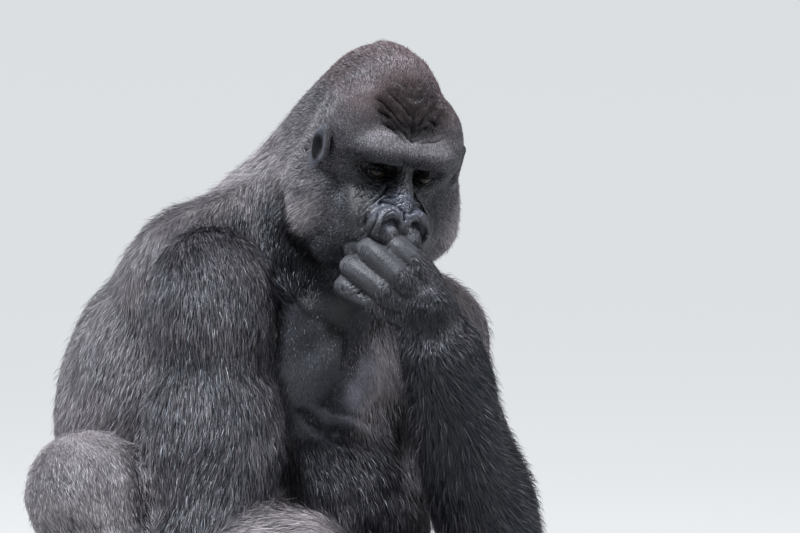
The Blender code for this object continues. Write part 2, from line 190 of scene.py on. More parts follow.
def along_path(points, count):
    """Points spread evenly along a smooth curve through the given ones (Catmull-Rom)."""
    points = np.array([tuple(p) for p in points], float)
    padded = np.vstack((2 * points[0] - points[1], points, 2 * points[-1] - points[-2]))
    spans = len(points) - 1
    place = np.linspace(0, spans - 1e-9, count)
    first = place.astype(int)
    t = (place - first)[:, None]
    a, b, c, d = (padded[first + k] for k in range(4))
    return 0.5 * (
        2 * b + (c - a) * t + (2 * a - 5 * b + 4 * c - d) * t**2 + (3 * b - a - 3 * c + d) * t**3
    )


def add_roll(clay, points, radii):
    """A roll of clay along a path, as closely set balls whose radius changes on the way."""
    points = [tuple(p) for p in points]
    length = sum(math.dist(a, b) for a, b in zip(points, points[1:]))
    count = max(3, int(length / (0.3 * min(radii))) + 1)
    centres = along_path(points, count)
    sizes = np.interp(np.linspace(0, 1, count), np.linspace(0, 1, len(radii)), radii)
    for centre, size in zip(centres, sizes):
        place = Matrix.Translation(centre) @ Matrix.Scale(size, 4)
        bmesh.ops.create_icosphere(clay, subdivisions=2, radius=1, matrix=place)


def swollen(name, distance):
    """A copy of one solid, moved outward along its normals; inward if distance is negative."""
    mesh = solids[name].copy()
    mesh.normal_update()
    for vertex in mesh.verts:
        vertex.co = vertex.co + vertex.normal * distance
    return mesh


def add_mesh(clay, other):
    scratch = bpy.data.meshes.new("scratch")
    other.to_mesh(scratch)
    clay.from_mesh(scratch)
    bpy.data.meshes.remove(scratch)


def evaluated(obj):
    """The object with its modifiers made real."""
    view = bpy.context.evaluated_depsgraph_get()
    mesh = bpy.data.meshes.new_from_object(obj.evaluated_get(view))
    obj.modifiers.clear()
    obj.data = mesh
    return obj


def new_object(name, mesh):
    obj = bpy.data.objects.new(name, mesh)
    bpy.context.scene.collection.objects.link(obj)
    return obj


def clay_object(name, clay):
    """Hands the clay over to a new object."""
    mesh = bpy.data.meshes.new(name)
    clay.to_mesh(mesh)
    clay.free()
    return new_object(name, mesh)


def fuse(name, clay, voxel, smoothing):
    """One closed surface from overlapping clay."""
    obj = clay_object(name, clay)
    remesh = obj.modifiers.new("fuse", "REMESH")
    remesh.mode = "VOXEL"
    remesh.voxel_size = voxel
    if smoothing:
        smooth = obj.modifiers.new("smooth", "SMOOTH")
        smooth.factor = 0.5
        smooth.iterations = smoothing
    return evaluated(obj)


def vectors_of(obj, kind):
    """One vector for each point of a mesh, as rows of an array."""
    vectors = np.empty(len(obj.data.vertices) * 3, np.float32)
    obj.data.vertices.foreach_get(kind, vectors)
    return vectors.reshape(-1, 3).astype(float)


def points_of(obj):
    return vectors_of(obj, "co")


def normals_of(obj):
    return vectors_of(obj, "normal")


def edges_of(obj):
    """The two point numbers at the ends of each edge."""
    ends = np.empty(len(obj.data.edges) * 2, np.int32)
    obj.data.edges.foreach_get("vertices", ends)
    return ends.reshape(-1, 2)


def move_points(obj, points):
    obj.data.vertices.foreach_set("co", points.astype(np.float32).ravel())
    obj.data.update()


# %% [markdown]
# ## The guide: one surface at the coat's outline
#
# All the flesh is fused into one closed surface at the outline of the coat. It is never shown.
# It is a map: at each of its points we write down how thick the coat is there, how long the
# hair is and which way it lies. The skin and the coat both read this map.

# %% Fuse the guide
GUIDE_VOXEL = 0.007
flesh = [name for name in sorted(nodes) if not name.startswith("eye_")]
OVERLAP = 0.0012
clay = bmesh.new()
for name in flesh:
    add_mesh(clay, swollen(name, OVERLAP))
guide = fuse("guide", clay, GUIDE_VOXEL, 7)
guide_points = points_of(guide)
print("the guide has", len(guide_points), "points")

# %% [markdown]
# The solids are simple forms, so the fused outline is a little off here and there: the crest
# sits too far forward, a shoulder is too slack. Soft pushes, like the heel of a hand on clay,
# move it by a centimetre or two and fade out around.

# %% Push the outline into shape
SIDEWAYS = np.array((0.788, -0.616, 0.0))
PUSHES = (  # place measured from the head, reach, and how far sideways
    ((0.035, 0.005, 0.180), 0.040, -0.013),
    ((0.075, -0.080, 0.100), 0.070, -0.012),
    ((-0.075, 0.240, 0.000), 0.070, 0.012),
    ((-0.245, 0.335, -0.130), 0.070, 0.014),
    ((-0.263, 0.385, -0.220), 0.050, -0.010),
    ((0.102, -0.050, -0.140), 0.050, 0.012),
    ((0.272, 0.100, -0.260), 0.080, 0.012),
    ((0.130, -0.173, -0.425), 0.060, -0.020),
    ((0.105, 0.030, -0.590), 0.060, 0.022),
    ((-0.128, 0.100, -0.078), 0.032, 0.015),
    ((-0.112, -0.020, -0.160), 0.034, -0.016),
)
DEEPEN = (  # place, radii, and how far away from the viewer: the gap between jaw and shoulder
    ((-0.130, 0.118, -0.085), (0.032, 0.040, 0.035), 0.026),
    ((-0.122, 0.090, -0.135), (0.036, 0.045, 0.040), 0.032),
    ((-0.105, 0.075, -0.205), (0.045, 0.050, 0.050), 0.034),
    ((-0.165, 0.140, -0.118), (0.026, 0.035, 0.034), 0.012),
)
AWAY = np.array((0.616, 0.788, 0.0))


def fade(value, low, high):
    """0 below low, 1 above high, smooth in between."""
    t = np.clip((value - low) / (high - low), 0, 1)
    return t * t * (3 - 2 * t)


def pushed(points):
    """The points after all the pushes."""
    shift = np.zeros(len(points))
    for place, reach, far in PUSHES:
        gap = np.linalg.norm(from_head(points) - np.array(place), axis=1)
        shift += far * np.exp(-((gap / reach) ** 2))
    deepened = np.zeros(len(points))
    for place, radii, far in DEEPEN:
        gap = (from_head(points) - np.array(place)) / np.array(radii)
        deepened += far * np.exp(-(gap**2).sum(axis=1))
    return points + SIDEWAYS * shift[:, None] + AWAY * deepened[:, None]


before, guide_points = guide_points, pushed(guide_points)
move_points(guide, guide_points)
guide_normals = normals_of(guide)
print("pushed by up to", round(float(np.abs(guide_points - before).max()) * 1000), "mm")

# %% [markdown]
# ## Which part of the body is it?
#
# Each guide point belongs mostly to the nearest solid, and a little to its neighbours. These
# weights let every property fade from one part to the next, so that no joint shows a line.

# %% Weigh the body parts
PART_BLEND = 0.015
NEARBY, FAR_OFF = 0.03, 0.2  # solids further away than the first count as the second


def part_weights(points):
    """One row for each point: how much it belongs to each flesh solid."""
    away = np.full((len(points), len(flesh)), FAR_OFF)
    for column, name in enumerate(flesh):
        low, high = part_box(name)
        near = np.all((points > np.array(low) - NEARBY) & (points < np.array(high) + NEARBY), axis=1)
        tree = surfaces[name]
        for row in np.flatnonzero(near):
            away[row, column] = tree.find_nearest(Vector(points[row]))[3]
    share = np.exp(-(away - away.min(axis=1, keepdims=True)) / PART_BLEND)
    return share / share.sum(axis=1, keepdims=True)


guide_parts = part_weights(before)


def part(name, parts):
    """The weight of one solid, or of the solids whose names start so."""
    columns = [i for i, node in enumerate(flesh) if node == name or node.startswith(name + "_")]
    return parts[:, columns].sum(axis=1)


print("weights for", guide_parts.shape[1], "parts of the body")

# %% [markdown]
# ## Ironing
#
# Where two solids meet, the fused surface keeps a crease. A thick coat bridges such creases on
# the shoulders and the nape, so there each point is lifted towards the mean of its neighbours.

# %% Iron the shoulders and the nape
edges = edges_of(guide)


def smoothed(values, links, rounds):
    """Each value drawn towards the mean of its neighbours, again and again."""
    here, there = np.concatenate((links, links[:, ::-1])).T
    count = np.maximum(np.bincount(here, minlength=len(values)), 1)[:, None]
    for _ in range(rounds):
        total = np.stack([np.bincount(here, column[there], len(values)) for column in values.T], 1)
        values = values * 0.5 + 0.5 * total / count
    return values


IRON_ROUNDS = 36
IRONED = (  # place measured from the head, and reach
    ((-0.310, 0.080, -0.330), 0.14), ((-0.235, 0.150, -0.200), 0.12), ((0.250, 0.120, -0.330), 0.14),
    ((-0.090, 0.270, -0.040), 0.13), ((0.060, 0.270, -0.060), 0.13), ((0.000, 0.330, -0.250), 0.16),
)
ironed = np.zeros(len(guide_points))
for place, reach in IRONED:
    gap = np.linalg.norm(from_head(guide_points) - np.array(place), axis=1)
    ironed = np.maximum(ironed, 1 - fade(gap / reach, 0.6, 1.0))
for _ in range(IRON_ROUNDS):
    lift = ((smoothed(guide_points, edges, 1) - guide_points) * guide_normals).sum(axis=1)
    guide_points += guide_normals * (np.where(lift > 0, lift, 0.3 * lift) * ironed)[:, None]
move_points(guide, guide_points)
guide_normals = normals_of(guide)
print("ironed", round(float(ironed.mean()), 2), "of the guide")

# %% [markdown]
# ## Soft masks
#
# Bare skin, silver hair and long locks each have a place. A mask is 1 inside that place, 0
# outside it, and fades in between.


# %% Write the masks
AXIS_PRIMES = (73856093, 19349663, 83492791)
SEED_PRIME, MIX_PRIME = 2654435761, 1274126177


def lattice_noise(points, size, seed):
    """Smooth random bumps from -1 to 1, about size apart."""
    cells = points / size
    base = np.floor(cells).astype(np.int64)
    t = cells - base
    t = t * t * (3 - 2 * t)
    total = np.zeros(len(points))
    for corner in np.ndindex(2, 2, 2):
        mixed = np.bitwise_xor.reduce((base + corner) * AXIS_PRIMES, axis=1) ^ (seed * SEED_PRIME)
        mixed = (mixed ^ (mixed >> 13)) * MIX_PRIME
        value = ((mixed >> 8) & 0xFFFF) / 32767.5 - 1
        weight = np.prod(np.where(corner, t, 1 - t), axis=1)
        total += value * weight
    return total


def oval(points, centre, radii, edge=0.35):
    """1 inside an ellipsoid, fading to 0 outside it."""
    reach = np.sqrt((((points - np.array(centre)) / np.array(radii)) ** 2).sum(axis=1))
    return 1 - fade(reach, 1 - edge / 2, 1 + edge / 2)


def bare_face(head):
    """The hairless part of the face, in the head's own directions."""
    left, front, up = head.T
    reach = np.sqrt((left / 0.076) ** 2 + ((up + 0.058) / 0.088) ** 2)
    return (1 - fade(reach, 0.85, 1.15)) * fade(front, 0.045, 0.075)


def bare_chest(points):
    """The nearly hairless breast of an old male."""
    spot = from_head(points)
    breast = oval(spot, (-0.085, 0.03, -0.335), (0.105, 0.10, 0.135), 0.5)
    return breast * (1 - fade(spot[:, 1], 0.10, 0.16))


guide_head = in_head(guide_points)
guide_face = bare_face(guide_head) * part("head", guide_parts)
guide_breast = bare_chest(guide_points) * (part("chest", guide_parts) + part("abdomen", guide_parts))
print("bare points: face", int((guide_face > 0.5).sum()), "breast", int((guide_breast > 0.5).sum()))

# %% [markdown]
# ## How thick the coat is and how long its hair
#
# Each part of the body has its own coat: longest on the arms, short and dense on the thighs
# and back, a nap on the brow, and nothing on face, breast, palms and soles.

# %% Write down the coat's depth and the hair's length
COAT = {  # thickness of the coat and length of its hair, in metres
    "head": (0.0030, 0.010),
    "neck": (0.007, 0.017),
    "chest": (0.009, 0.024),
    "abdomen": (0.010, 0.028),
    "ear": (0.0004, 0.003),
    "upper_arm": (0.010, 0.032),
    "forearm": (0.012, 0.042),
    "hand": (0.0012, 0.012),
    "thigh": (0.005, 0.012),
    "shank": (0.006, 0.016),
    "foot": (0.0012, 0.009),
}


def fill_in(parts, column):
    return sum(part(name, parts) * values[column] for name, values in COAT.items())


def velvet_and_ruff(head):
    """Two zones of the head: the velvet-haired face, and the longer hair along the jaw."""
    left, front, up = head.T
    ruff = fade(np.abs(left), 0.092, 0.122) * fade(-up, 0.01, 0.09)
    return fade(front, 0.01, 0.07) * (1 - ruff), ruff


def coat_depth(points, head, parts):
    velvet, ruff = velvet_and_ruff(head)
    depth = fill_in(parts, 0) + part("head", parts) * (0.003 * ruff - 0.0022 * velvet)
    depth *= 1 - 0.85 * bare_face(head) * part("head", parts)
    depth *= 1 - 0.85 * bare_chest(points)
    return depth


def hair_length(points, head, parts):
    velvet, ruff = velvet_and_ruff(head)
    length = fill_in(parts, 1) + part("head", parts) * (0.009 * ruff - 0.0058 * velvet)
    length *= 1 - 0.7 * bare_chest(points)
    return length


guide_depth = coat_depth(guide_points, guide_head, guide_parts)
print("coat from", round(guide_depth.min() * 1000, 1), "to", round(guide_depth.max() * 1000, 1), "mm")

# %% [markdown]
# ## Which way the hair lies
#
# Hair lies along the body as the animal's own growth has it: back over the crown, down the
# back, along the upper arm to the elbow, up the forearm to the elbow, and down the shins. Each
# direction is flattened onto the surface.


# %% Write down the lie of the coat
def unit(vectors):
    return vectors / np.maximum(np.linalg.norm(vectors, axis=1, keepdims=True), 1e-9)


def flatten(vectors, normals):
    """The part of each vector that runs along the surface, as a unit vector."""
    return unit(vectors - normals * (vectors * normals).sum(axis=1, keepdims=True))


def lie_of_coat(points, head, parts, normals):
    axes = np.array(head_turn)
    left, front, up = head.T
    outward = np.sign(left)
    crown = np.stack((left * 5, np.full_like(up, -0.75), 0.9 - fade(-front, -0.05, 0.06) * 1.3), 1)
    cheek = np.stack((outward * 0.25, np.full_like(up, -0.55), np.full_like(up, -0.85)), 1)
    high = fade(up, -0.03, 0.05)[:, None]
    flow = part("head", parts)[:, None] * unit(crown * high + cheek * (1 - high)) @ axes.T
    spot = from_head(points)
    trunk = np.stack((spot[:, 0] * 2.2 + 0.05, 0.25 * np.sign(normals[:, 1]), np.full_like(up, -1.0)), 1)
    flow += (part("chest", parts) + part("abdomen", parts) + part("neck", parts))[:, None] * unit(trunk)
    flow += part("ear", parts)[:, None] * np.array((0, 0.4, 0.9))
    for side in SIDES:
        up_the_forearm = bone("wrist", "elbow", side) + np.array((0.55, 0.30, 0.0)) * SIDES[side]
        for name, way in (
            (f"upper_arm_{side}", bone("shoulder", "elbow", side)),
            (f"forearm_{side}", up_the_forearm),
            (f"hand_{side}", bone("wrist", "elbow", side)),
            (f"thigh_{side}", np.array((0, 0.2, -1.0))),
            (f"shank_{side}", bone("knee", "ankle", side)),
            (f"foot_{side}", np.array((-0.1, -1.0, -0.3))),
        ):
            flow += part(name, parts)[:, None] * way
    swirl = np.stack([lattice_noise(points, 0.11, seed) for seed in (11, 12, 13)], 1)
    return flatten(unit(flow) + (0.30 - 0.18 * part("head", parts))[:, None] * swirl, normals)


guide_lie = lie_of_coat(guide_points, guide_head, guide_parts, guide_normals)
print("lie of the coat written for", len(guide_lie), "points")

# %% [markdown]
# ## The bare body
#
# The skin lies inside the guide by the depth of the coat. Moving the points inward in small
# steps, with a little smoothing in between, keeps folds from crossing. The head, hands and
# feet will be made finer on their own, so here they sink a little deeper and are swallowed.

# %% Sink the skin under the coat
SINK_STEPS = 4
fine_parts = sum(part(name, guide_parts) for name in ("head", "hand", "foot", "ear"))
sink = guide_depth + 0.004 * fade(fine_parts, 0.4, 0.9)
body = new_object("body", guide.data.copy())
for step in range(SINK_STEPS):
    inward = smoothed(normals_of(body), edges, 2)
    move_points(body, points_of(body) - unit(inward) * (sink / SINK_STEPS)[:, None])
body_points = smoothed(points_of(body), edges, 2)
CORES = [(("head", "ear"), on_head(0, 0.01, -0.03), 0.34)]
for side in SIDES:
    CORES.append(((f"hand_{side}",), joint("wrist", side), 0.50))
    CORES.append(((f"foot_{side}",), joint("ankle", side), 0.40))
for names, core, share in CORES:
    inside = fade(sum(part(name, guide_parts) for name in names), 0.70, 0.97)
    inside = smoothed(inside[:, None], edges, 4)
    body_points += (np.array(core) - body_points) * share * inside
move_points(body, body_points)
print("the body's skin has", len(body_points), "points")

# %% [markdown]
# ## Reading the guide from anywhere
#
# The fine pieces have their own points. Each of them looks up its nearest guide points and
# takes its depth, hair length and direction from there.

# %% Make the guide searchable
def search_tree(points):
    tree = KDTree(len(points))
    for row, point in enumerate(points):
        tree.insert(point, row)
    tree.balance()
    return tree


guide_tree = search_tree(guide_points)


def nearest_guide(points):
    return np.array([guide_tree.find(point)[1] for point in points])


def sunk(obj):
    """Moves the head piece inward by the coat's depth, and tucks its neck deep into the body."""
    rows = nearest_guide(points_of(obj))
    links = edges_of(obj)
    depth = smoothed(guide_depth[rows][:, None], links, 6)[:, 0]
    for _ in range(2):
        move_points(obj, points_of(obj) - normals_of(obj) * (depth / 2)[:, None])
    spot = points_of(obj)
    tuck = fade(-part("head", guide_parts[rows]), -0.45, -0.04)
    tuck = smoothed(tuck[:, None], links, 10)
    start, way = np.array(middle("neck")), unit(np.array([head_at - middle("neck")]))[0]
    axis = start + ((spot - start) @ way)[:, None] * way
    move_points(obj, spot + (axis - spot) * 0.38 * tuck)


# %% [markdown]
# ## The head's clay
#
# A silverback's face is bare, dark and deeply folded: a heavy brow bar over deep-set eyes, a
# short wide nose whose two nostril rims stand up like a heart-shaped cushion, and a round
# muzzle. We sink the head solid under its hair, fuse it finely, and add the clay of the face.

# %% Sink the head and hollow the nose
def carve(obj, cutter, operation="DIFFERENCE"):
    """Cuts one closed mesh by another, or joins the two, and keeps the result as real mesh."""
    change = obj.modifiers.new("carve", "BOOLEAN")
    change.operation = operation
    change.solver = "MANIFOLD"
    change.object = cutter
    evaluated(obj)
    bpy.data.objects.remove(cutter)


def cutter_from(name, clay):
    """A cutter whose faces all look outward, as the Boolean needs them."""
    bmesh.ops.recalc_face_normals(clay, faces=clay.faces)
    return clay_object(name, clay)


SKULL_VOXEL = 0.003
JAW_SIDES = (  # on each side: behind the ear, along the muzzle, and at the angle of the jaw
    ((0.102, 0.018, -0.004), (0.012, 0.030, 0.036)),
    ((0.045, 0.075, -0.105), (0.030, 0.050, 0.045)),
    ((0.060, 0.046, -0.135), (0.042, 0.050, 0.045)),
)
clay = bmesh.new()
for sign in SIDES.values():
    for (left, front, up), radii in JAW_SIDES:
        add_ball(clay, on_head(sign * left, front, up), radii, head_turn)
add_ball(clay, on_head(0, 0.090, -0.100), (0.064, 0.073, 0.054), head_turn)
add_ball(clay, on_head(0, 0.070, -0.128), (0.055, 0.062, 0.040), head_turn)
for name in ("head", "neck"):
    add_mesh(clay, swollen(name, OVERLAP))
skull = fuse("skull", clay, SKULL_VOXEL, 16)
move_points(skull, pushed(points_of(skull)))
sunk(skull)
hollows = bmesh.new()
for sign in SIDES.values():
    add_ball(hollows, on_head(sign * 0.024 + 0.0035, 0.168, -0.066), (0.018, 0.028, 0.025), head_turn)
add_ball(hollows, on_head(0.004, 0.174, -0.084), (0.024, 0.028, 0.012), head_turn)
carve(skull, cutter_from("nose_hollows", hollows))
print("the sunk head has", len(skull.data.vertices), "points")

# %% [markdown]
# Now the face gets its own clay: nostril rims, the septum between them, the bridge, lids that
# cover the eyeballs, and the rims of the ears.

# %% Add the clay of the face
FACE_VOXEL = 0.0027
NOSE_MIDDLE = 0.0035
RIM = (  # left, front and up of one nostril rim, from the septum around to the wing
    (0.0085, 0.157, -0.0475), (0.0145, 0.158, -0.0430), (0.0225, 0.156, -0.0420), (0.0325, 0.152, -0.0500),
    (0.0385, 0.147, -0.0645), (0.0380, 0.145, -0.0795), (0.0315, 0.144, -0.0925),
)
RIM_RADII = (0.0080, 0.0094, 0.0100, 0.0110, 0.0114, 0.0108, 0.0090)
HELIX = (  # the rim of one ear, from its front edge over the top and down to the lobe
    (0.1215, 0.068, -0.003), (0.1200, 0.071, 0.017), (0.1215, 0.066, 0.039), (0.1265, 0.054, 0.046),
    (0.1325, 0.040, 0.031), (0.1310, 0.034, 0.011), (0.1250, 0.036, -0.007), (0.1220, 0.049, -0.020),
)
HELIX_RADII = (0.0045, 0.0048, 0.0054, 0.0060, 0.0062, 0.0058, 0.0055, 0.0070)
EAR_MIDDLE = (0.1250, 0.051, 0.013)
EAR_TILT = 19
EAR_SINKS = {"right": 0.0, "left": -0.015}  # the left ear lies closer to the head


def head_roll(clay, path, radii):
    add_roll(clay, [on_head(*spot) for spot in path], radii)


def ear_turn(sign):
    return head_turn @ Matrix.Rotation(math.radians(sign * EAR_TILT), 3, "Z")


clay = bmesh.new()
for side, sign in SIDES.items():
    flat = EAR_SINKS[side]
    head_roll(clay, [(sign * l + NOSE_MIDDLE, f, u) for l, f, u in RIM], RIM_RADII)
    add_ball(clay, on_head(sign * 0.040 + NOSE_MIDDLE, 0.117, -0.068), (0.024, 0.024, 0.032), head_turn)
    add_ball(clay, on_head(sign * 0.024 + NOSE_MIDDLE, 0.133, -0.067), (0.022, 0.017, 0.026), head_turn)
    bridge_side = ((sign * 0.008 + 0.001, 0.098, 0.004), (sign * 0.020 + 0.003, 0.107, -0.022),
                   (sign * 0.031 + 0.004, 0.117, -0.041))
    head_roll(clay, bridge_side, (0.012, 0.016, 0.016))
    add_ball(clay, eye_at[side], (eye_radius + 0.0030,) * 3)
    head_roll(clay, [(sign * (l + flat), f, u) for l, f, u in HELIX], HELIX_RADII)
    add_ball(clay, on_head(sign * (0.121 + flat), 0.064, -0.001), (0.0050, 0.006, 0.010), head_turn)
    ear_flap = on_head(sign * (EAR_MIDDLE[0] + flat), *EAR_MIDDLE[1:])
    add_ball(clay, ear_flap, (0.0080, 0.022, 0.032), ear_turn(sign))
septum = ((0.0015, 0.142, -0.044), (0.003, 0.156, -0.056), (0.005, 0.156, -0.067), (0.006, 0.150, -0.092))
head_roll(clay, septum, (0.0078, 0.0122, 0.0116, 0.0090))
bridge = ((0, 0.098, 0.024), (0, 0.106, -0.004), (0, 0.118, -0.026), (0, 0.131, -0.040))
head_roll(clay, bridge, (0.016, 0.018, 0.022, 0.022))
clay.from_mesh(skull.data)
bpy.data.objects.remove(skull)
head_skin = fuse("head_skin", clay, FACE_VOXEL, 4)
print("the head's skin has", len(head_skin.data.vertices), "points")

# %% [markdown]
# Wrinkles need smaller faces than cheeks do, so the middle of the face is cut finer once more.


# %% Refine the middle of the face
def refine(obj, busy):
    """Cuts the faces around the chosen points once more."""
    mesh = bmesh.new()
    mesh.from_mesh(obj.data)
    mesh.verts.ensure_lookup_table()
    cut = [edge for edge in mesh.edges if busy[edge.verts[0].index] and busy[edge.verts[1].index]]
    bmesh.ops.subdivide_edges(mesh, edges=cut, cuts=1, use_grid_fill=True, smooth=0.6)
    bmesh.ops.triangulate(mesh, faces=[f for f in mesh.faces if len(f.verts) > 4])
    mesh.to_mesh(obj.data)
    mesh.free()


left, front, up = in_head(points_of(head_skin)).T
refine(head_skin, (np.abs(left) < 0.074) & (front > 0.07) & (up > -0.115) & (up < 0.15))
print("the head's skin now has", len(head_skin.data.vertices), "points")

# %% [markdown]
# ## Sculpting strokes
#
# Two strokes make every fold: a soft swelling around a spot, and a crease or ridge along a
# path. Paths on the face are given as left and up, and dropped onto the skin from the front.


# %% Write the strokes
class Sculpt:
    """A skin's points and normals, moved by soft strokes in local directions."""

    def __init__(self, obj, to_local, to_world):
        self.obj, self.to_local, self.to_world = obj, to_local, to_world
        self.take()

    def take(self):
        self.points = self.to_local(points_of(self.obj))
        self.normals = self.to_local(points_of(self.obj) + normals_of(self.obj)) - self.points
        self.move = np.zeros(len(self.points))

    def swell(self, centre, radii, height):
        reach = (((self.points - np.array(centre)) / np.array(radii)) ** 2).sum(axis=1)
        near = reach < 6
        self.move[near] += height * np.exp(-reach[near])

    def stroke(self, path, width, height):
        """A ridge along a 3-D path, or a crease if height is negative, fading at both ends."""
        path = along_path(path, 4 * len(path))
        low, high = path.min(axis=0) - 3 * width, path.max(axis=0) + 3 * width
        near = np.flatnonzero(np.all((self.points > low) & (self.points < high), axis=1))
        place = self.points[near]
        best, where = np.full(len(near), 1e9), np.zeros(len(near))
        for k, (a, b) in enumerate(zip(path, path[1:])):
            span = b - a
            t = np.clip(((place - a) @ span) / (span @ span + 1e-12), 0, 1)
            away = np.linalg.norm(place - a - t[:, None] * span, axis=1)
            closer = away < best
            best[closer] = away[closer]
            where[closer] = (k + t[closer]) / (len(path) - 1)
        strength = np.sin(np.pi * np.clip(where, 0.03, 0.97)) ** 0.5
        self.move[near] += height * strength * np.exp(-((best / width) ** 2))

    def apply(self):
        move_points(self.obj, self.to_world(self.points + self.normals * self.move[:, None]))
        self.take()


def out_of_head(points):
    return points @ np.array(head_turn).T + np.array(head_at)


face = Sculpt(head_skin, in_head, out_of_head)


def look_from_front():
    """A search tree of the face as it is now, in the head's own directions."""
    return BVHTree.FromPolygons(
        [Vector(p) for p in face.points], [tuple(poly.vertices) for poly in head_skin.data.polygons]
    )


def on_face(left, up):
    """The place on the skin in front of the head, at this left and up."""
    return tuple(front_view.ray_cast(Vector((left, 0.4, up)), Vector((0, -1, 0)))[0])


def face_stroke(path, width, height, mirrored=False):
    face.stroke([on_face(l, u) for l, u in path], width, height)
    if mirrored:
        face.stroke([on_face(-l, u) for l, u in path], width, height)


print("ready to sculpt", len(face.points), "points")

# %% [markdown]
# ## The big forms of the face
#
# First the large forms: the overhanging brow, hollow sockets, bags under the eyes, the widening
# bridge and the round sides of the muzzle. The mouth is a long level line.

# %% Sculpt the big forms
FORMS = (  # left, front and up of a swelling on each side, its radii, and its height
    ((0.036, 0.124, 0.041), (0.032, 0.030, 0.0120), 0.0110),  # brow
    ((0.068, 0.096, 0.036), (0.020, 0.034, 0.012), 0.0085),  # outer end of the brow
    ((0.038, 0.108, 0.020), (0.028, 0.028, 0.0085), -0.0040),  # socket
    ((0.021, 0.108, 0.004), (0.007, 0.020, 0.010), -0.0030),  # inner corner of the eye
    ((0.060, 0.098, 0.006), (0.012, 0.022, 0.010), -0.0060),  # outer corner of the eye
    ((0.044, 0.108, -0.016), (0.018, 0.024, 0.007), 0.0030),  # bag under the eye
    ((0.052, 0.120, -0.085), (0.024, 0.040, 0.026), 0.0060),  # side of the muzzle
    ((0.076, 0.080, -0.050), (0.012, 0.030, 0.030), -0.0030),  # hollow of the cheek
)
for sign in SIDES.values():
    for (left, front, up), radii, height in FORMS:
        face.swell((sign * left, front, up), radii, height)
face.swell((0, 0.128, 0.036), (0.010, 0.030, 0.014), 0.0030)
face.apply()
front_view = look_from_front()
BROW_RIDGE = ((0.006, 0.024), (0.022, 0.0290), (0.042, 0.0310), (0.060, 0.0280), (0.076, 0.018))
UNDER_BROW = ((0.016, 0.0150), (0.028, 0.0165), (0.042, 0.0170), (0.058, 0.0140), (0.070, 0.006))
MOUTH = ((-0.052, -0.112), (-0.030, -0.124), (0, -0.128), (0.030, -0.124), (0.052, -0.112))
NOSE_GROOVE = (
    (0.003, -0.0385), (0.010, -0.0345), (0.022, -0.0320), (0.036, -0.0375), (0.0490, -0.055),
    (0.0520, -0.072), (0.047, -0.090),
)
face_stroke(BROW_RIDGE, 0.0052, 0.0050, True)
face_stroke(UNDER_BROW, 0.0032, -0.0050, True)
face_stroke(MOUTH, 0.0026, -0.0075)
face_stroke([(-0.045, -0.108), (0, -0.119), (0.045, -0.108)], 0.0040, 0.0025)
face_stroke([(-0.040, -0.127), (0, -0.139), (0.040, -0.127)], 0.0060, 0.0040)
face_stroke([(0, -0.034), (0, -0.040), (0.001, -0.046), (0.002, -0.051)], 0.0026, -0.0070)
for sign in SIDES.values():
    face_stroke([(sign * l + NOSE_MIDDLE, u) for l, u in NOSE_GROOVE], 0.0024, -0.0060)
face_stroke([(0, -0.076), (0, -0.090), (0, -0.108)], 0.0022, -0.0018)
face.apply()
print("big forms done")

# %% [markdown]
# ## Folds and wrinkles
#
# The folds follow the muscles: two deep grooves run from the inner corners of the eyes down
# around the nose, bags under the eyes are crossed by fine lines, upright furrows part the
# brows, and the skin over the crest's front is thrown into lobes that meet in a V.

# %% Sculpt the folds
rng = np.random.default_rng(7)
front_view = look_from_front()
FOLDS = (  # path on the left side, width and height; the right side mirrors it
    (((0.014, 0.002), (0.019, -0.009), (0.030, -0.026), (0.042, -0.040), (0.056, -0.058)), 0.0024, -0.0046),
    (((0.013, -0.004), (0.017, -0.018), (0.023, -0.028), (0.030, -0.034)), 0.0014, -0.0018),
    (((0.024, -0.010), (0.036, -0.018), (0.050, -0.019), (0.062, -0.012)), 0.0016, -0.0022),
    (((0.056, -0.014), (0.064, -0.028), (0.066, -0.046), (0.060, -0.064)), 0.0036, -0.0012),
    (((0.049, -0.050), (0.052, -0.068), (0.050, -0.086), (0.056, -0.106)), 0.0030, -0.0035),
)
FURROWS = (  # between the brows: left, top and depth
    (-0.013, 0.040, 0.0020), (-0.006, 0.044, 0.0028), (0.001, 0.040, 0.0016), (0.008, 0.046, 0.0030),
    (0.015, 0.038, 0.0018),
)
EYE_SIDE = 0.038
FINE_LINE = 0.0010
WRINKLES = 60


def wrinkle(sign, left, up, turn, size, height):
    """A short fine line through one place on the face."""
    run, rise = size * math.cos(turn), size * math.sin(turn)
    path = [(sign * (left - run), up - rise), (sign * left, up), (sign * (left + run), up + rise)]
    face_stroke(path, FINE_LINE, height)


for path, width, height in FOLDS:
    face_stroke(path, width, height, True)
for left, top, deep in FURROWS:
    path = [(left, 0.012), (left * 0.8 + 0.001, 0.026), (left * 1.3, top + 0.006)]
    face_stroke(path, 0.0018, -1.5 * deep)
for sign in SIDES.values():
    for ring in range(6):
        radius = 0.0170 + 0.0034 * ring + rng.uniform(-0.0006, 0.0006)
        angles = np.radians(np.linspace(rng.uniform(-165, -140), rng.uniform(-55, -25), 5))
        arc = [(EYE_SIDE - radius * math.cos(a) * 1.15, EYE_UP + radius * math.sin(a) * 0.9) for a in angles]
        face_stroke([(sign * l, u) for l, u in arc], FINE_LINE, -0.0010)
    for _ in range(WRINKLES):
        left, up = rng.uniform(0.016, 0.064), rng.normal(-0.026, 0.011)
        turn = rng.choice((-1, 1)) * rng.uniform(0.4, 1.0)
        wrinkle(sign, left, up, turn, rng.uniform(0.005, 0.010), -0.0014)
    for _ in range(WRINKLES):
        left, up = rng.uniform(0.001, 0.026), rng.uniform(-0.034, 0.012)
        turn = rng.uniform(-1.3, -0.2)
        wrinkle(sign, left, up, turn, rng.uniform(0.003, 0.007), -0.0012)
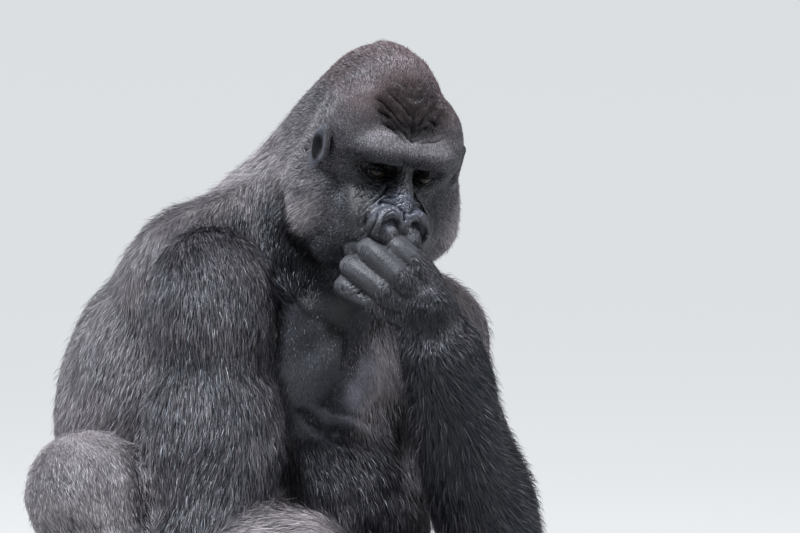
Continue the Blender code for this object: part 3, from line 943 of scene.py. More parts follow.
face.apply()
print("folds done")

# %% [markdown]
# The forehead of an old male is a thick pad that folds into lobes. Strokes alone would look
# drawn, so a wavy pattern and soft noise raise the lobes first, and creases then part them.

# %% Sculpt the forehead's lobes
crest = oval(face.points, (-0.002, 0.08, 0.098), (0.056, 0.07, 0.046), 0.5)
left, front, up = face.points.T
warp = 1.5 * lattice_noise(face.points, 0.022, 51) + 0.7 * lattice_noise(face.points, 0.010, 52)
chevrons = np.sin(2 * math.pi * (up - 0.75 * np.abs(left + 0.004)) / 0.0205 + 1.6 * warp)
lumps = lattice_noise(face.points, 0.013, 54) + 0.5 * lattice_noise(face.points, 0.007, 55)
face.move += crest * (0.0010 * chevrons + 0.0016 * lumps)
front_view = look_from_front()
CREASES = (  # the deep creases between the lobes, as left and up
    ((-0.062, 0.110), (-0.048, 0.106), (-0.026, 0.088), (-0.003, 0.075)),
    ((-0.050, 0.078), (-0.030, 0.072), (-0.004, 0.058)),
    ((-0.001, 0.073), (0.014, 0.079), (0.030, 0.080)),
    ((0.006, 0.061), (0.022, 0.064), (0.040, 0.066), (0.055, 0.069)),
    ((-0.042, 0.121), (-0.024, 0.112), (-0.005, 0.096)),
    ((0.006, 0.086), (0.012, 0.095), (0.020, 0.106), (0.034, 0.112)),
    ((-0.003, 0.104), (-0.002, 0.088), (0.000, 0.072), (0.003, 0.058)),
    ((-0.056, 0.094), (-0.040, 0.090), (-0.018, 0.072)),
    ((0.044, 0.084), (0.036, 0.092), (0.020, 0.094)),
    ((-0.016, 0.072), (0.002, 0.064), (0.020, 0.066)),
)
for path in CREASES:
    face_stroke(path, 0.0027, -0.0046)
face.apply()
print("forehead done")

# %% [markdown]
# ## Eyelids
#
# The lids are the clay over the eyeballs. An almond-shaped cutter opens them, narrow and a
# little slanted, as under a frown. A soft ridge first makes the rim of each lid.

# %% Open the eyes
LID_HALF = 0.0135
UPPER_LID = (
    (-LID_HALF, -0.0018), (-0.009, 0.0010), (-0.003, 0.0022), (0.004, 0.0024), (0.010, 0.0014),
    (LID_HALF, -0.0002),
)
LOWER_LID = ((0.009, -0.0036), (0.003, -0.0052), (-0.004, -0.0054), (-0.010, -0.0042))
ALMOND = (*UPPER_LID, *LOWER_LID, UPPER_LID[0])
LID_RIMS = ((UPPER_LID, 0.0012, 0.0016), (ALMOND[5:], -0.0010, 0.0012))  # path, rise, height
front_view = look_from_front()
for sign in SIDES.values():
    for arc, rise, height in LID_RIMS:
        face_stroke([(sign * (EYE_SIDE + l), EYE_UP + u + rise) for l, u in arc], 0.0012, height)
    face_stroke([(sign * 0.024, 0.008), (sign * 0.036, 0.0125), (sign * 0.050, 0.008)], 0.0014, -0.0020)
    face_stroke([(sign * 0.026, -0.005), (sign * 0.037, -0.0095), (sign * 0.050, -0.005)], 0.0013, -0.0016)
face.apply()
outline = along_path([(l, 0, u) for l, u in ALMOND], 36)[:-1]
cutters = bmesh.new()
for sign in SIDES.values():
    back, fore = [], []
    for l, _, u in outline:
        back.append(cutters.verts.new(on_head(sign * (EYE_SIDE + l), EYE_FRONT + 0.004, EYE_UP + u)))
    for l, _, u in outline:
        wide, high = EYE_SIDE + l * 1.15, EYE_UP + u * 1.3
        fore.append(cutters.verts.new(on_head(sign * wide, EYE_FRONT + 0.040, high)))
    cutters.faces.new(back)
    cutters.faces.new(fore)
    for k in range(len(back)):
        cutters.faces.new((back[k - 1], back[k], fore[k], fore[k - 1]))
print("lid cutters have", len(cutters.faces), "faces")

# %% [markdown]
# Before the cut, skin that sank into an eyeball is lifted off it again, so that the lids lie on
# the ball. The nostrils and the bowls of the ears are hollowed out in the same way.

# %% Cut the lids, nostrils and ears
LID_SPACE = 0.0024
NOSTRIL = ((0.0245, -0.0560), (0.0235, -0.0650), (0.0165, -0.0755))
NOSTRIL_DEPTHS = (0.180, 0.170, 0.158, 0.148, 0.138)  # how far in front of the ears
covered = points_of(head_skin)
for side in SIDES:
    out = covered - np.array(eye_at[side])
    away = np.linalg.norm(out, axis=1)
    short = away < eye_radius + LID_SPACE
    covered[short] = np.array(eye_at[side]) + out[short] * ((eye_radius + LID_SPACE) / away[short])[:, None]
move_points(head_skin, covered)
carve(head_skin, cutter_from("lid_cutters", cutters))
nostrils = bmesh.new()
for side, sign in SIDES.items():
    for f in NOSTRIL_DEPTHS:
        head_roll(nostrils, [(sign * l + NOSE_MIDDLE, f, u) for l, u in NOSTRIL], (0.0050, 0.0074, 0.0056))
    left, front, up = EAR_MIDDLE
    bowl = on_head(sign * (left + 0.0105 + EAR_SINKS[side]), front + 0.006, up + 0.002)
    add_ball(nostrils, bowl, (0.0165, 0.0165, 0.0250), ear_turn(sign))
carve(head_skin, cutter_from("nostril_and_ear_cutters", nostrils))
print("eyes and nostrils open;", len(head_skin.data.vertices), "points")

# %% [markdown]
# ## Hands
#
# A gorilla walks on the backs of its middle finger bones, so that skin is thick, bare and
# ribbed. One hand is a loose fist held to the mouth, the other rests on its knuckles. Each
# finger is one roll of clay through its joints, fattest at the knuckles.


# %% Write the hand
def hand_directions(along, back):
    """Across, out of the back of the hand, and along it, as the columns of a turn."""
    reach = Vector(along).normalized()
    rear = (Vector(back) - reach * reach.dot(Vector(back))).normalized()
    return Matrix((reach.cross(rear), rear, reach)).transposed()


HAND_VOXEL = 0.0026
AWAY_FROM_FACE = Vector((0.616, 0.788, -0.070))
FIST = (  # for each finger of the raised fist: the big knuckle and the middle one, from the head
    ((-0.0435, -0.1462, -0.1666), (-0.0610, -0.1175, -0.1385)),
    ((-0.0700, -0.1385, -0.1830), (-0.0893, -0.0931, -0.1445)),
    ((-0.0875, -0.1200, -0.2036), (-0.1066, -0.0693, -0.1722)),
    ((-0.0950, -0.0975, -0.2225), (-0.1154, -0.0614, -0.2027)),
)
FIST_THICK = (1.00, 1.02, 0.97, 0.86)
SPREAD = 0.034
CURLS, BONES = (20, 30, 20), (0.062, 0.042, 0.030)
HANDS = {  # the directions of each hand, and a small shift of its wrist
    "left": (hand_directions((-0.60, 0.42, 0.68), (-0.62, -0.79, 0.20)), (0.001, 0.010, 0.014)),
    "right": (hand_directions((0.30, -0.80, -0.45), (-0.1, -0.35, 0.9)), (0, 0, 0)),
}


def fist_finger(finger):
    """The joints of one finger that is folded behind its own knuckles."""
    big, small = (head_at + Vector(spot) for spot in FIST[finger])
    bend_at = small + AWAY_FROM_FACE * 0.034 + (big - small) * 0.15
    return [big, small, bend_at, bend_at + (big - small) * 0.45 + AWAY_FROM_FACE * 0.006]


def resting_finger(finger, knuckle, turn):
    """The joints of one finger that curls gently from its knuckle."""
    long = 1.0 - 0.10 * abs(finger - 1.3)
    points, bend = [knuckle], 0.0
    for curl, bone_length in zip(CURLS, BONES):
        bend += math.radians(curl + 3 * (finger - 1.5))
        step = turn.col[2] * math.cos(bend) - turn.col[1] * math.sin(bend)
        points.append(points[-1] + step * bone_length * long)
    return points


def hand_clay(side):
    """Clay for one hand, and the joints of each finger for sculpting."""
    raised = side == "left"
    turn, shift = HANDS[side]
    wrist_at = joint("wrist", side) + Vector(shift)
    across = turn.col[0] * -SIDES[side]
    clay, fingers = bmesh.new(), []
    arm = (joint("wrist", side) - joint("elbow", side)).normalized()
    add_roll(clay, [wrist_at - arm * 0.07, wrist_at], (0.036, 0.046))
    sunk_palm = AWAY_FROM_FACE * (0.014 if raised else 0.0)
    add_ball(clay, wrist_at + turn.col[2] * 0.055 + sunk_palm, (0.060, 0.028, 0.066), turn)
    for finger in range(4):
        sideways = across * (finger - 1.5) * SPREAD
        if raised:
            points, thick, knob = fist_finger(finger), FIST_THICK[finger], 0.0215
        else:
            knuckle = wrist_at + turn.col[2] * (0.108 - 0.008 * abs(finger - 1.0)) + sideways
            points = resting_finger(finger, knuckle, turn)
            thick, knob = 1.0 - 0.05 * abs(finger - 1.2), 0.0245
        fingers.append([wrist_at + sideways * 0.5, *points])
        add_roll(clay, fingers[-1], [r * thick for r in (0.020, 0.0215, 0.0235, 0.0205, 0.0160)])
        add_ball(clay, points[1], (knob * thick,) * 3)
    if raised:
        root = wrist_at + turn.col[2] * 0.03 + AWAY_FROM_FACE * 0.030
        bend_at = root + turn.col[2] * 0.034 + AWAY_FROM_FACE * 0.018
        tip = bend_at + turn.col[2] * 0.010 + AWAY_FROM_FACE * 0.026
    else:
        root = wrist_at + turn.col[2] * 0.025 - across * 0.042 - turn.col[1] * 0.010
        bend_at = root + turn.col[2] * 0.05 - across * 0.022 - turn.col[1] * 0.016
        tip = bend_at + turn.col[2] * 0.045 - turn.col[1] * 0.012
    add_roll(clay, [root, bend_at, tip], (0.0225, 0.0175, 0.0130))
    fingers.append([root, bend_at, tip])
    return clay, fingers


hand_skins, finger_joints = {}, {}
for side in HANDS:
    clay, finger_joints[side] = hand_clay(side)
    hand_skins[side] = fuse(f"hand_skin_{side}", clay, HAND_VOXEL, 4)
    print(side, "hand has", len(hand_skins[side].data.vertices), "points")

# %% [markdown]
# ## Feet
#
# A gorilla's foot is nearly a hand: the big toe stands apart and grips like a thumb. Heel and
# instep are rolls, the ball is a flat cushion, and each toe is a short roll.


# %% Write the foot
def foot_clay(side, toes_at, sole):
    """Clay for one foot, the joints of its toes, and the direction of its upper side."""
    ankle_at, sole = joint("ankle", side), Vector(sole).normalized()
    turn = hand_directions(head_at + Vector(toes_at) - ankle_at, -sole)
    inner, forward = turn.col[0] * SIDES[side], turn.col[2]
    shin = (joint("knee", side) - ankle_at).normalized()
    clay, toes = bmesh.new(), []
    add_roll(clay, [ankle_at + shin * 0.07, ankle_at], (0.034, 0.044))
    add_roll(clay, [ankle_at, ankle_at + sole * 0.035 - forward * 0.055], (0.047, 0.035))
    add_roll(clay, [ankle_at + sole * 0.02, ankle_at + sole * 0.045 + forward * 0.13], (0.043, 0.025))
    add_ball(clay, ankle_at + sole * 0.045 + forward * 0.10, (0.053, 0.024, 0.073), turn)
    for toe in range(4):
        root = ankle_at + sole * 0.048 + forward * (0.145 - 0.012 * toe) + inner * (0.0285 - 0.027 * toe)
        bend_at = root + forward * (0.042 - 0.004 * toe) - sole * 0.004
        tip = bend_at + forward * 0.026 + sole * 0.006
        instep = ankle_at + sole * 0.045 + forward * 0.06
        add_roll(clay, [instep, root, bend_at, tip], (0.020, 0.0165, 0.0160, 0.0130))
        toes.append([root, bend_at, tip])
    root = ankle_at + sole * 0.046 + forward * 0.05 + inner * 0.035
    bend_at = root + forward * 0.045 + inner * 0.036
    tip = bend_at + forward * 0.042 + inner * 0.008
    add_roll(clay, [root, bend_at, tip], (0.024, 0.0195, 0.0155))
    toes.append([root, bend_at, tip])
    return clay, toes, -sole


FOOT_VOXEL = 0.0034
FEET = {  # where the toes are, measured from the head, and which way the sole looks
    "right": ((-0.298, -0.176, -0.870), (0, 0, -1)),
    "left": ((-0.268, -0.276, -0.850), (0.25, 0.35, -0.9)),
}
foot_skins, toe_joints, foot_back = {}, {}, {}
for side, (toes_at, sole) in FEET.items():
    clay, toe_joints[side], foot_back[side] = foot_clay(side, toes_at, sole)
    foot_skins[side] = fuse(f"foot_skin_{side}", clay, FOOT_VOXEL, 5)
    print(side, "foot has", len(foot_skins[side].data.vertices), "points")

# %% [markdown]
# Creases cross the back of every finger and toe joint. Between two joints the skin is ribbed,
# so a few fainter creases lie beside each deep one.


# %% Crease the fingers and toes
CREASE_WIDTH, KNUCKLE_RISE, WRINKLES_PER_FINGER = 0.0017, 0.0030, 45
fist = from_head(points_of(hand_skins["left"]))
refine(hand_skins["left"], (-fist @ np.array(AWAY_FROM_FACE) > 0.098) & (fist[:, 0] < -0.048))


def unmoved(points):
    return points


def crease_joints(obj, digits, back=None, reach=0.022):
    """Seven creases over each joint, the middle one deepest."""
    same = Sculpt(obj, unmoved, unmoved)
    for digit in digits:
        for before, at, after in zip(digit, digit[1:], digit[2:]):
            run = (after - before).normalized()
            rear = at - (before + after) / 2
            rear = back if back is not None and rear.length < 0.008 else rear
            rear = (rear - run * rear.dot(run)).normalized()
            across = run.cross(rear)
            for k in range(-3, 4):
                centre, arc = at + run * (0.0042 * k), []
                for a in np.linspace(-1.1, 1.1, 7):
                    outward = (rear * math.cos(a) + across * math.sin(a)) * reach
                    arc.append(centre + outward + run * (0.0016 * math.cos(3 * a + k)))
                same.stroke(arc, CREASE_WIDTH, -0.0018 if k == 0 else -0.0010)
    same.apply()


def wrinkle_fist(obj, digits, rear):
    """Crossing fine wrinkles over the backs of the fingers, and knuckles that stand up a little."""
    same = Sculpt(obj, unmoved, unmoved)
    for digit in digits:
        big, small = digit[1:3]
        run = (small - big).normalized()
        across = run.cross(rear).normalized()
        same.swell(big + rear * 0.016, (0.013, 0.013, 0.013), KNUCKLE_RISE)
        for _ in range(WRINKLES_PER_FINGER):
            at = big + run * rng.uniform(-0.02, 1.15) * (small - big).length
            at = at + rear * 0.020 + across * rng.uniform(-0.006, 0.006)
            turn, size = rng.choice((-1, 1)) * rng.uniform(0.15, 0.9), rng.uniform(0.004, 0.010)
            way = across * math.cos(turn) + run * math.sin(turn)
            same.stroke([at - way * size, at + rear * 0.001, at + way * size], 0.0016, -0.0011)
    same.apply()


for side in SIDES:
    crease_joints(hand_skins[side], [f[1:] for f in finger_joints[side][:4]] + [finger_joints[side][4]])
    crease_joints(foot_skins[side], toe_joints[side], foot_back[side], 0.016)
wrinkle_fist(hand_skins["left"], finger_joints["left"][:4], -AWAY_FROM_FACE)
print("fingers and toes creased")

# %% [markdown]
# ## One skin
#
# The fine pieces overlap the body, so a Boolean union welds everything into one closed skin
# with no seam. What was inside disappears.

# %% Weld the skin
FLOOR_GAP = 0.0006
JOINS = (("wrist", 0.058), ("ankle", 0.062))  # where the weld is smoothed, and how far around


def shade_smooth(mesh):
    mesh.polygons.foreach_set("use_smooth", [True] * len(mesh.polygons))


def drop_inner_shells(obj):
    """Keeps only the faces that hang together with the topmost point."""
    mesh = bmesh.new()
    mesh.from_mesh(obj.data)
    mesh.verts.ensure_lookup_table()
    reached = np.zeros(len(mesh.verts), bool)
    waiting = [max(mesh.verts, key=lambda v: v.co.z)]
    reached[waiting[0].index] = True
    while waiting:
        vertex = waiting.pop()
        for edge in vertex.link_edges:
            other = edge.other_vert(vertex)
            if not reached[other.index]:
                reached[other.index] = True
                waiting.append(other)
    bmesh.ops.delete(mesh, geom=[v for v in mesh.verts if not reached[v.index]], context="VERTS")
    bmesh.ops.triangulate(mesh, faces=mesh.faces)
    mesh.to_mesh(obj.data)
    mesh.free()


own_points = {f"hand_{side}": points_of(hand_skins[side]) for side in SIDES}
skin = body
skin.name = "skin"
for piece in (head_skin, hand_skins["right"], hand_skins["left"], foot_skins["right"], foot_skins["left"]):
    carve(skin, piece, "UNION")
drop_inner_shells(skin)
skin_edges = edges_of(skin)
points = points_of(skin)
rows = nearest_guide(points)
near_head = part("head", guide_parts[rows])
join = fade(near_head, 0.02, 0.25) * (1 - fade(near_head, 0.70, 0.96))
join *= fade(-in_head(points)[:, 1], -0.09, -0.04)
for name, size in JOINS:
    for side in SIDES:
        join = np.maximum(join, oval(points, joint(name, side), (size,) * 3, 0.7))
for _ in range(10):
    points += (smoothed(points, skin_edges, 8) - points) * join[:, None]
points[:, 2] = np.maximum(points[:, 2], FLOOR_GAP)
move_points(skin, points)
shade_smooth(skin.data)
print("the skin has", len(skin.data.polygons), "triangles")

# %% [markdown]
# ## Breast and belly
#
# The breast of an old male is nearly bare: two flat muscles with a groove between them, and
# folds where the body bends over the belly.

# %% Sculpt the breast
torso = Sculpt(skin, from_head, lambda p: p + np.array(head_at))
skin_tree = BVHTree.FromObject(skin, bpy.context.evaluated_depsgraph_get())


def skin_stroke(path, width, height):
    """A stroke through places measured from the head, dropped onto the nearest skin."""
    dropped = [tuple(skin_tree.find_nearest(head_at + Vector(spot))[0] - head_at) for spot in path]
    torso.stroke(dropped, width, height)


GROOVES = (  # path from the head, width and height: the sternum, and the folds over the belly
    (((-0.048, 0.040, -0.270), (-0.046, 0.040, -0.311), (-0.042, 0.042, -0.385)), 0.006, -0.0025),
    (((-0.126, 0.050, -0.403), (-0.080, 0.048, -0.433), (-0.036, 0.045, -0.444), (0.043, 0.043, -0.473)),
     0.0045, -0.012),
    (((-0.118, 0.050, -0.388), (-0.074, 0.048, -0.416), (-0.032, 0.045, -0.428), (0.030, 0.043, -0.446)),
     0.0070, 0.006),
    (((-0.110, 0.050, -0.424), (-0.060, 0.048, -0.452), (0.000, 0.045, -0.470), (0.040, 0.043, -0.492)),
     0.0050, -0.006),
)
torso.swell((-0.105, 0.030, -0.345), (0.045, 0.060, 0.045), 0.008)
torso.swell((0.008, 0.040, -0.365), (0.042, 0.050, 0.045), 0.008)
for path, width, height in GROOVES:
    skin_stroke(path, width, height)
torso.apply()
print("breast sculpted")

# %% [markdown]
# ## What the skin knows about itself
#
# Every skin point looks up the guide: its body part, how long the hair is and how it lies. We
# also note how open each place is. In the armpits and the lap nobody sees the coat, so there
# it can be thin, and the hair is spent where it shows.

# %% Read the guide onto the skin
OPEN_REACH = 0.16  # a place is open where no other part of the body is within this reach
LOOKS = ((0.0, 0.0), (0.9, 0.0), (0.9, 0.25), (0.9, 0.5), (0.9, 0.75))  # lean, and turn around
guide_surface = BVHTree.FromObject(guide, bpy.context.evaluated_depsgraph_get())
guide_across = np.cross(guide_normals, guide_lie)
guide_open = np.zeros(len(guide_points))
start = guide_points + guide_normals * 0.004
for lean, turn in LOOKS:
    angle = 2 * math.pi * turn
    way = unit(guide_normals + lean * (math.cos(angle) * guide_lie + math.sin(angle) * guide_across))
    for row in range(len(guide_points)):
        if guide_surface.ray_cast(start[row], way[row], OPEN_REACH)[0] is None:
            guide_open[row] += 1 / len(LOOKS)

# How strongly the body bends along the lie of the hair, so that long blades can follow it.
step = guide_points[edges[:, 1]] - guide_points[edges[:, 0]]
turned = guide_normals[edges[:, 1]] - guide_normals[edges[:, 0]]
bent, spread = np.zeros(len(guide_points)), np.full(len(guide_points), 1e-9)
for end in (0, 1):
    way = guide_lie[edges[:, end]]
    run = (step * way).sum(axis=1)
    size = (step**2).sum(axis=1) + 1e-12
    bent += np.bincount(edges[:, end], (turned * way).sum(axis=1) * run / size, len(guide_points))
    spread += np.bincount(edges[:, end], run**2 / size, len(guide_points))
guide_bend = smoothed(np.clip(bent / spread, -25, 25)[:, None], edges, 6)[:, 0]

# The skin's own values: most come from the guide; hands, ears and face know what they are.
points = points_of(skin)
normals = normals_of(skin)
rows = nearest_guide(points)
parts = guide_parts[rows]
head_points = in_head(points)
head_column = flesh.index("head")
for side, sign in SIDES.items():
    ear = flesh.index(f"ear_{side}")
    parts[:, head_column] += parts[:, ear]
    parts[:, ear] = 0
    ear_place = (sign * (0.129 + EAR_SINKS[side]), *EAR_MIDDLE[1:])
    around = oval(head_points, ear_place, (0.0115, 0.027, 0.037), 0.2) > 0.5
    parts[around] = 0
    parts[around, ear] = 1
on_fingers = np.zeros(len(points), bool)
for name, own in own_points.items():
    tree = search_tree(own)
    near = np.flatnonzero(np.all((points > own.min(axis=0)) & (points < own.max(axis=0)), axis=1))
    mine = near[np.array([tree.find(point)[2] for point in points[near]]) < 0.0008]
    parts[mine] = 0
    parts[mine, flesh.index(name)] = 1
    on_fingers[mine] = True
in_face = oval(head_points, (0, 0.12, -0.02), (0.11, 0.07, 0.12), 0.1) > 0.5
in_face &= ~on_fingers & (parts[:, head_column] < 0.5)
parts[in_face] = 0
parts[in_face, head_column] = 1
lie = flatten(guide_lie[rows], normals)
length = hair_length(points, head_points, parts)
depth = np.minimum(coat_depth(points, head_points, parts), 0.02)
openness = guide_open[rows]
bend = guide_bend[rows]
print("open places:", round(float((openness > 0.6).mean()), 2), "of the skin")

# %% [markdown]
# ## Markings
#
# The coat is grizzled: dark hairs and pale ones side by side. How many are pale changes over
# the body. A grown male is silver on the back, nape and thighs, dark on chest, belly and
# forearms, and red-brown on the crown. Painted shade and light go in here too: fewer pale hairs
# in the hollows, more where the light falls on the breasts, the left shoulder and the forearm.
# Skin and coat both take their colours from here.


# %% Write the markings
def srgb(*levels):
    """A colour from 0-255 levels, as the linear values that a shader needs."""
    value = np.array(levels, float) / 255
    return np.where(value <= 0.04045, value / 12.92, ((value + 0.055) / 1.055) ** 2.4)


DARK_HAIR, PALE_HAIR = srgb(31, 34, 43), srgb(184, 176, 180)
BROWN_HAIR, RUST_HAIR = srgb(48, 38, 36), srgb(150, 120, 120)


PALE_SHARES = {  # how many of the hairs are pale on each part, apart from the trunk and the head
    # The left upper arm's high share is partly painted light, for the light on the top of that shoulder.
    "neck": 0.66, "upper_arm_right": 0.17, "upper_arm_left": 0.72, "forearm_right": 0.14,
    "forearm_left": 0.04, "hand": 0.12, "thigh": 0.85, "shank": 0.55, "foot": 0.10,
}


def front_and_back(points, normals):
    """0 on the animal's front, 1 on its back."""
    spot = from_head(points)
    return fade(spot[:, 1] + 0.06 * normals[:, 1], 0.10, 0.24)


# Where painted shade darkens the hollows beside the nose, on coat and skin.
BESIDE_NOSE = ((0.060, 0.100, -0.060), (0.022, 0.05, 0.035))
PAINTED_LIGHT = (  # painted light: more pale hairs where light falls on both breasts, and at the bend of the right forearm
    ((0.020, 0.020, -0.365), (0.060, 0.070, 0.085), 0.65, 0.7),
    ((-0.100, 0.020, -0.345), (0.060, 0.070, 0.060), 0.10, 0.7),
    ((-0.205, -0.060, -0.572), (0.090, 0.090, 0.045), 0.70, 0.9),
)
PAINTED_SHADE = (  # painted shade: fewer pale hairs and a darker coat in the throat, the gap between jaw and shoulder, the hollow of the shoulder and the bend of the elbow
    ((-0.080, 0.020, -0.190), (0.110, 0.085, 0.070), 0.85),
    ((-0.132, 0.105, -0.090), (0.036, 0.050, 0.045), 0.85),
    ((-0.122, 0.090, -0.140), (0.040, 0.055, 0.050), 0.90),
    ((-0.168, 0.138, -0.112), (0.028, 0.045, 0.040), 0.75),
    ((-0.112, 0.075, -0.175), (0.050, 0.060, 0.060), 0.90),
    ((-0.200, 0.000, -0.480), (0.045, 0.050, 0.040), 0.60),
    ((-0.095, 0.060, -0.240), (0.060, 0.070, 0.045), 0.95),
)


def beside_nose(head):
    """The two hollows between the nose and the cheeks, one after the other."""
    (left, front, up), radii = BESIDE_NOSE
    return [oval(head, (sign * left, front, up), radii, 0.7) for sign in SIDES.values()]


def markings(points, normals, head, parts):
    """For each point: the share of pale hairs, with its painted shade and light, and how brown the hair is.
    """
    rear = front_and_back(points, normals)
    trunk = part("chest", parts) + part("abdomen", parts)
    pale = trunk * (0.10 + 0.30 * rear)
    for name, share in PALE_SHARES.items():
        pale += part(name, parts) * share
    up = head[:, 2]
    whole_head = part("head", parts)
    velvet, ruff = velvet_and_ruff(head)
    crown = fade(up, 0.045, 0.10)
    pale += whole_head * (0.33 + 0.46 * ruff - 0.01 * crown - 0.22 * velvet * (1 - crown))
    brow = oval(head, (0, 0.11, 0.060), (0.11, 0.07, 0.015), 0.8) * whole_head
    pale += 0.26 * brow
    patch = oval(head, (0, 0.08, 0.106), (0.062, 0.06, 0.042), 0.4) * whole_head
    pale *= 1 - 0.86 * patch
    brown = whole_head * fade(up, 0.055, 0.11) * (0.6 + 0.4 * patch)
    pale *= 1 + 0.25 * lattice_noise(points, 0.05, 3)
    spot = from_head(points)
    # Painted shade: fewer pale hairs where shade falls in the hollows.
    for centre, radii, strength in PAINTED_SHADE:
        pale *= 1 - strength * oval(spot, centre, radii, 0.9)
    # Painted light: more pale hairs where the light falls.
    for centre, radii, strength, soft in PAINTED_LIGHT:
        pale += strength * oval(spot, centre, radii, soft)
    return np.clip(pale, 0.02, 0.95), np.clip(brown, 0, 1)


def shade_of(points, head, parts):
    """How much darker than its hairs the coat is painted: 1 in the open, less where painted shade falls
    in the hollows, under the brow, beside the nose and over two spots where blades catch the light;
    less too for the darker hair of the left forearm, the hands and the forehead patch, and a little
    less on the lower front of the head.
    """
    spot = from_head(points)
    low = -spot[:, 2]
    tone = np.ones(len(points))
    # Painted shade: the same hollows darken the whole coat.
    for centre, radii, strength in PAINTED_SHADE:
        tone *= 1 - 0.5 * strength * oval(spot, centre, radii, 0.9)
    tone *= 1 - 0.38 * part("forearm_left", parts) * fade(low, 0.20, 0.30) * (1 - fade(low, 0.50, 0.60))
    tone *= 1 - 0.35 * part("hand", parts)
    whole_head = part("head", parts)
    # Painted shade under the overhanging brow, over the sockets.
    tone *= 1 - 0.45 * oval(head, (0, 0.11, 0.022), (0.10, 0.06, 0.016), 0.7) * whole_head
    tone *= 1 - 0.35 * oval(head, (0, 0.08, 0.100), (0.058, 0.06, 0.040), 0.5) * whole_head
    # Painted shade in the hollows beside the nose.
    for hollow in beside_nose(head):
        tone *= 1 - 0.45 * hollow
    # Painted shade over two spots, at the left wrist and on the neck, where swirled blades catch the light.
    flat = np.column_stack((spot @ SIDEWAYS, np.zeros(len(spot)), spot[:, 2]))
    arm = part("forearm_left", parts) + part("hand_left", parts)
    tone *= 1 - 0.65 * arm * oval(flat, (0.0745, 0, -0.239), (0.034, 1, 0.030), 0.5)
    tone *= 1 - 0.75 * (1 - arm) * oval(flat, (-0.118, 0, -0.244), (0.036, 1, 0.030), 0.5)
    return tone * (1 - 0.14 * whole_head * fade(head[:, 1], 0.03, 0.08) * fade(-head[:, 2], -0.02, 0.03))


pale, brown = markings(points, normals, head_points, parts)
tone = shade_of(points, head_points, parts)
print("pale share from", round(pale.min(), 2), "to", round(pale.max(), 2))

# %% [markdown]
# ## The coat
#
# Each tuft is one slim blade: rooted in the skin, lifted by the depth of the coat, laid along
# the body and drawn a little towards its neighbours, so that long hair falls in locks. Blades
# are real mesh. They take their place in the texture map from an unrolled copy of the skin.


# %% Write the coat maker
TUFT_PATCH = 0.003  # the share of the texture map that one blade takes
ROOT_SINK = 0.0006
LONG_BLADE = {  # painted shade of each point, from the dark root to the lighter tip, the triangles, and the place in its patch
    "shade": (0.55, 0.55, 0.95, 0.95, 1.15),
    "triangles": np.array(((0, 1, 3), (0, 3, 2), (2, 3, 4))),
    "map": np.array(((0, 0), (1, 0), (0, 0.6), (1, 0.6), (0.5, 1))),
}
SHORT_BLADE = {
    "shade": (0.55, 0.95, 0.95, 1.15),
    "triangles": np.array(((0, 2, 1), (1, 2, 3))),
    "map": np.array(((0.5, 0), (0, 0.5), (1, 0.5), (0.5, 1))),
}
corners = np.empty(len(skin.data.polygons) * 3, np.int32)
skin.data.polygons.foreach_get("vertices", corners)
corners = corners.reshape(-1, 3)
sides_a = points[corners[:, 1]] - points[corners[:, 0]]
sides_b = points[corners[:, 2]] - points[corners[:, 0]]
face_area = np.linalg.norm(np.cross(sides_a, sides_b), axis=1) / 2


def paint_points(mesh, name, *columns):
    """Stores four numbers for each point of a mesh, where a material can read them."""
    values = np.column_stack(columns).astype(np.float32)
    mesh.attributes.new(name, "FLOAT_COLOR", "POINT").data.foreach_set("color", values.ravel())


def triangles_mesh(name, verts, tris, colours, uvs):
    """A mesh made straight from arrays, with one colour for each point and a map for the bake."""
    mesh = bpy.data.meshes.new(name)
    mesh.vertices.add(len(verts))
    mesh.vertices.foreach_set("co", verts.astype(np.float32).ravel())
    mesh.loops.add(len(tris) * 3)
    mesh.loops.foreach_set("vertex_index", tris.astype(np.int32).ravel())
    mesh.polygons.add(len(tris))
    mesh.polygons.foreach_set("loop_start", np.arange(len(tris), dtype=np.int32) * 3)
    mesh.update(calc_edges=True)
    paint_points(mesh, "coat_colour", colours, np.ones(len(colours)))
    layer = mesh.uv_layers.new(name="OFBake")
    layer.data.foreach_set("uv", uvs[tris.ravel()].astype(np.float32).ravel())
    shade_smooth(mesh)
    return mesh


def unrolled(place, axis_start, axis_end):
    """The skin unrolled like a sleeve around a bone: around, then along."""
    start, way = np.array(axis_start), np.array(axis_end) - np.array(axis_start)
    way = way / np.linalg.norm(way)
    side_way = np.cross(way, (0.31, 0.72, 0.62))
    side_way /= np.linalg.norm(side_way)
    other_way = np.cross(way, side_way)
    spot = place - start
    around = np.arctan2(spot @ other_way, spot @ side_way) / (2 * math.pi) + 0.5
    along = spot @ way
    along = (along - along.min()) / (np.ptp(along) + 1e-9)
    return np.column_stack((0.01 + 0.97 * around, 0.01 + 0.97 * along))


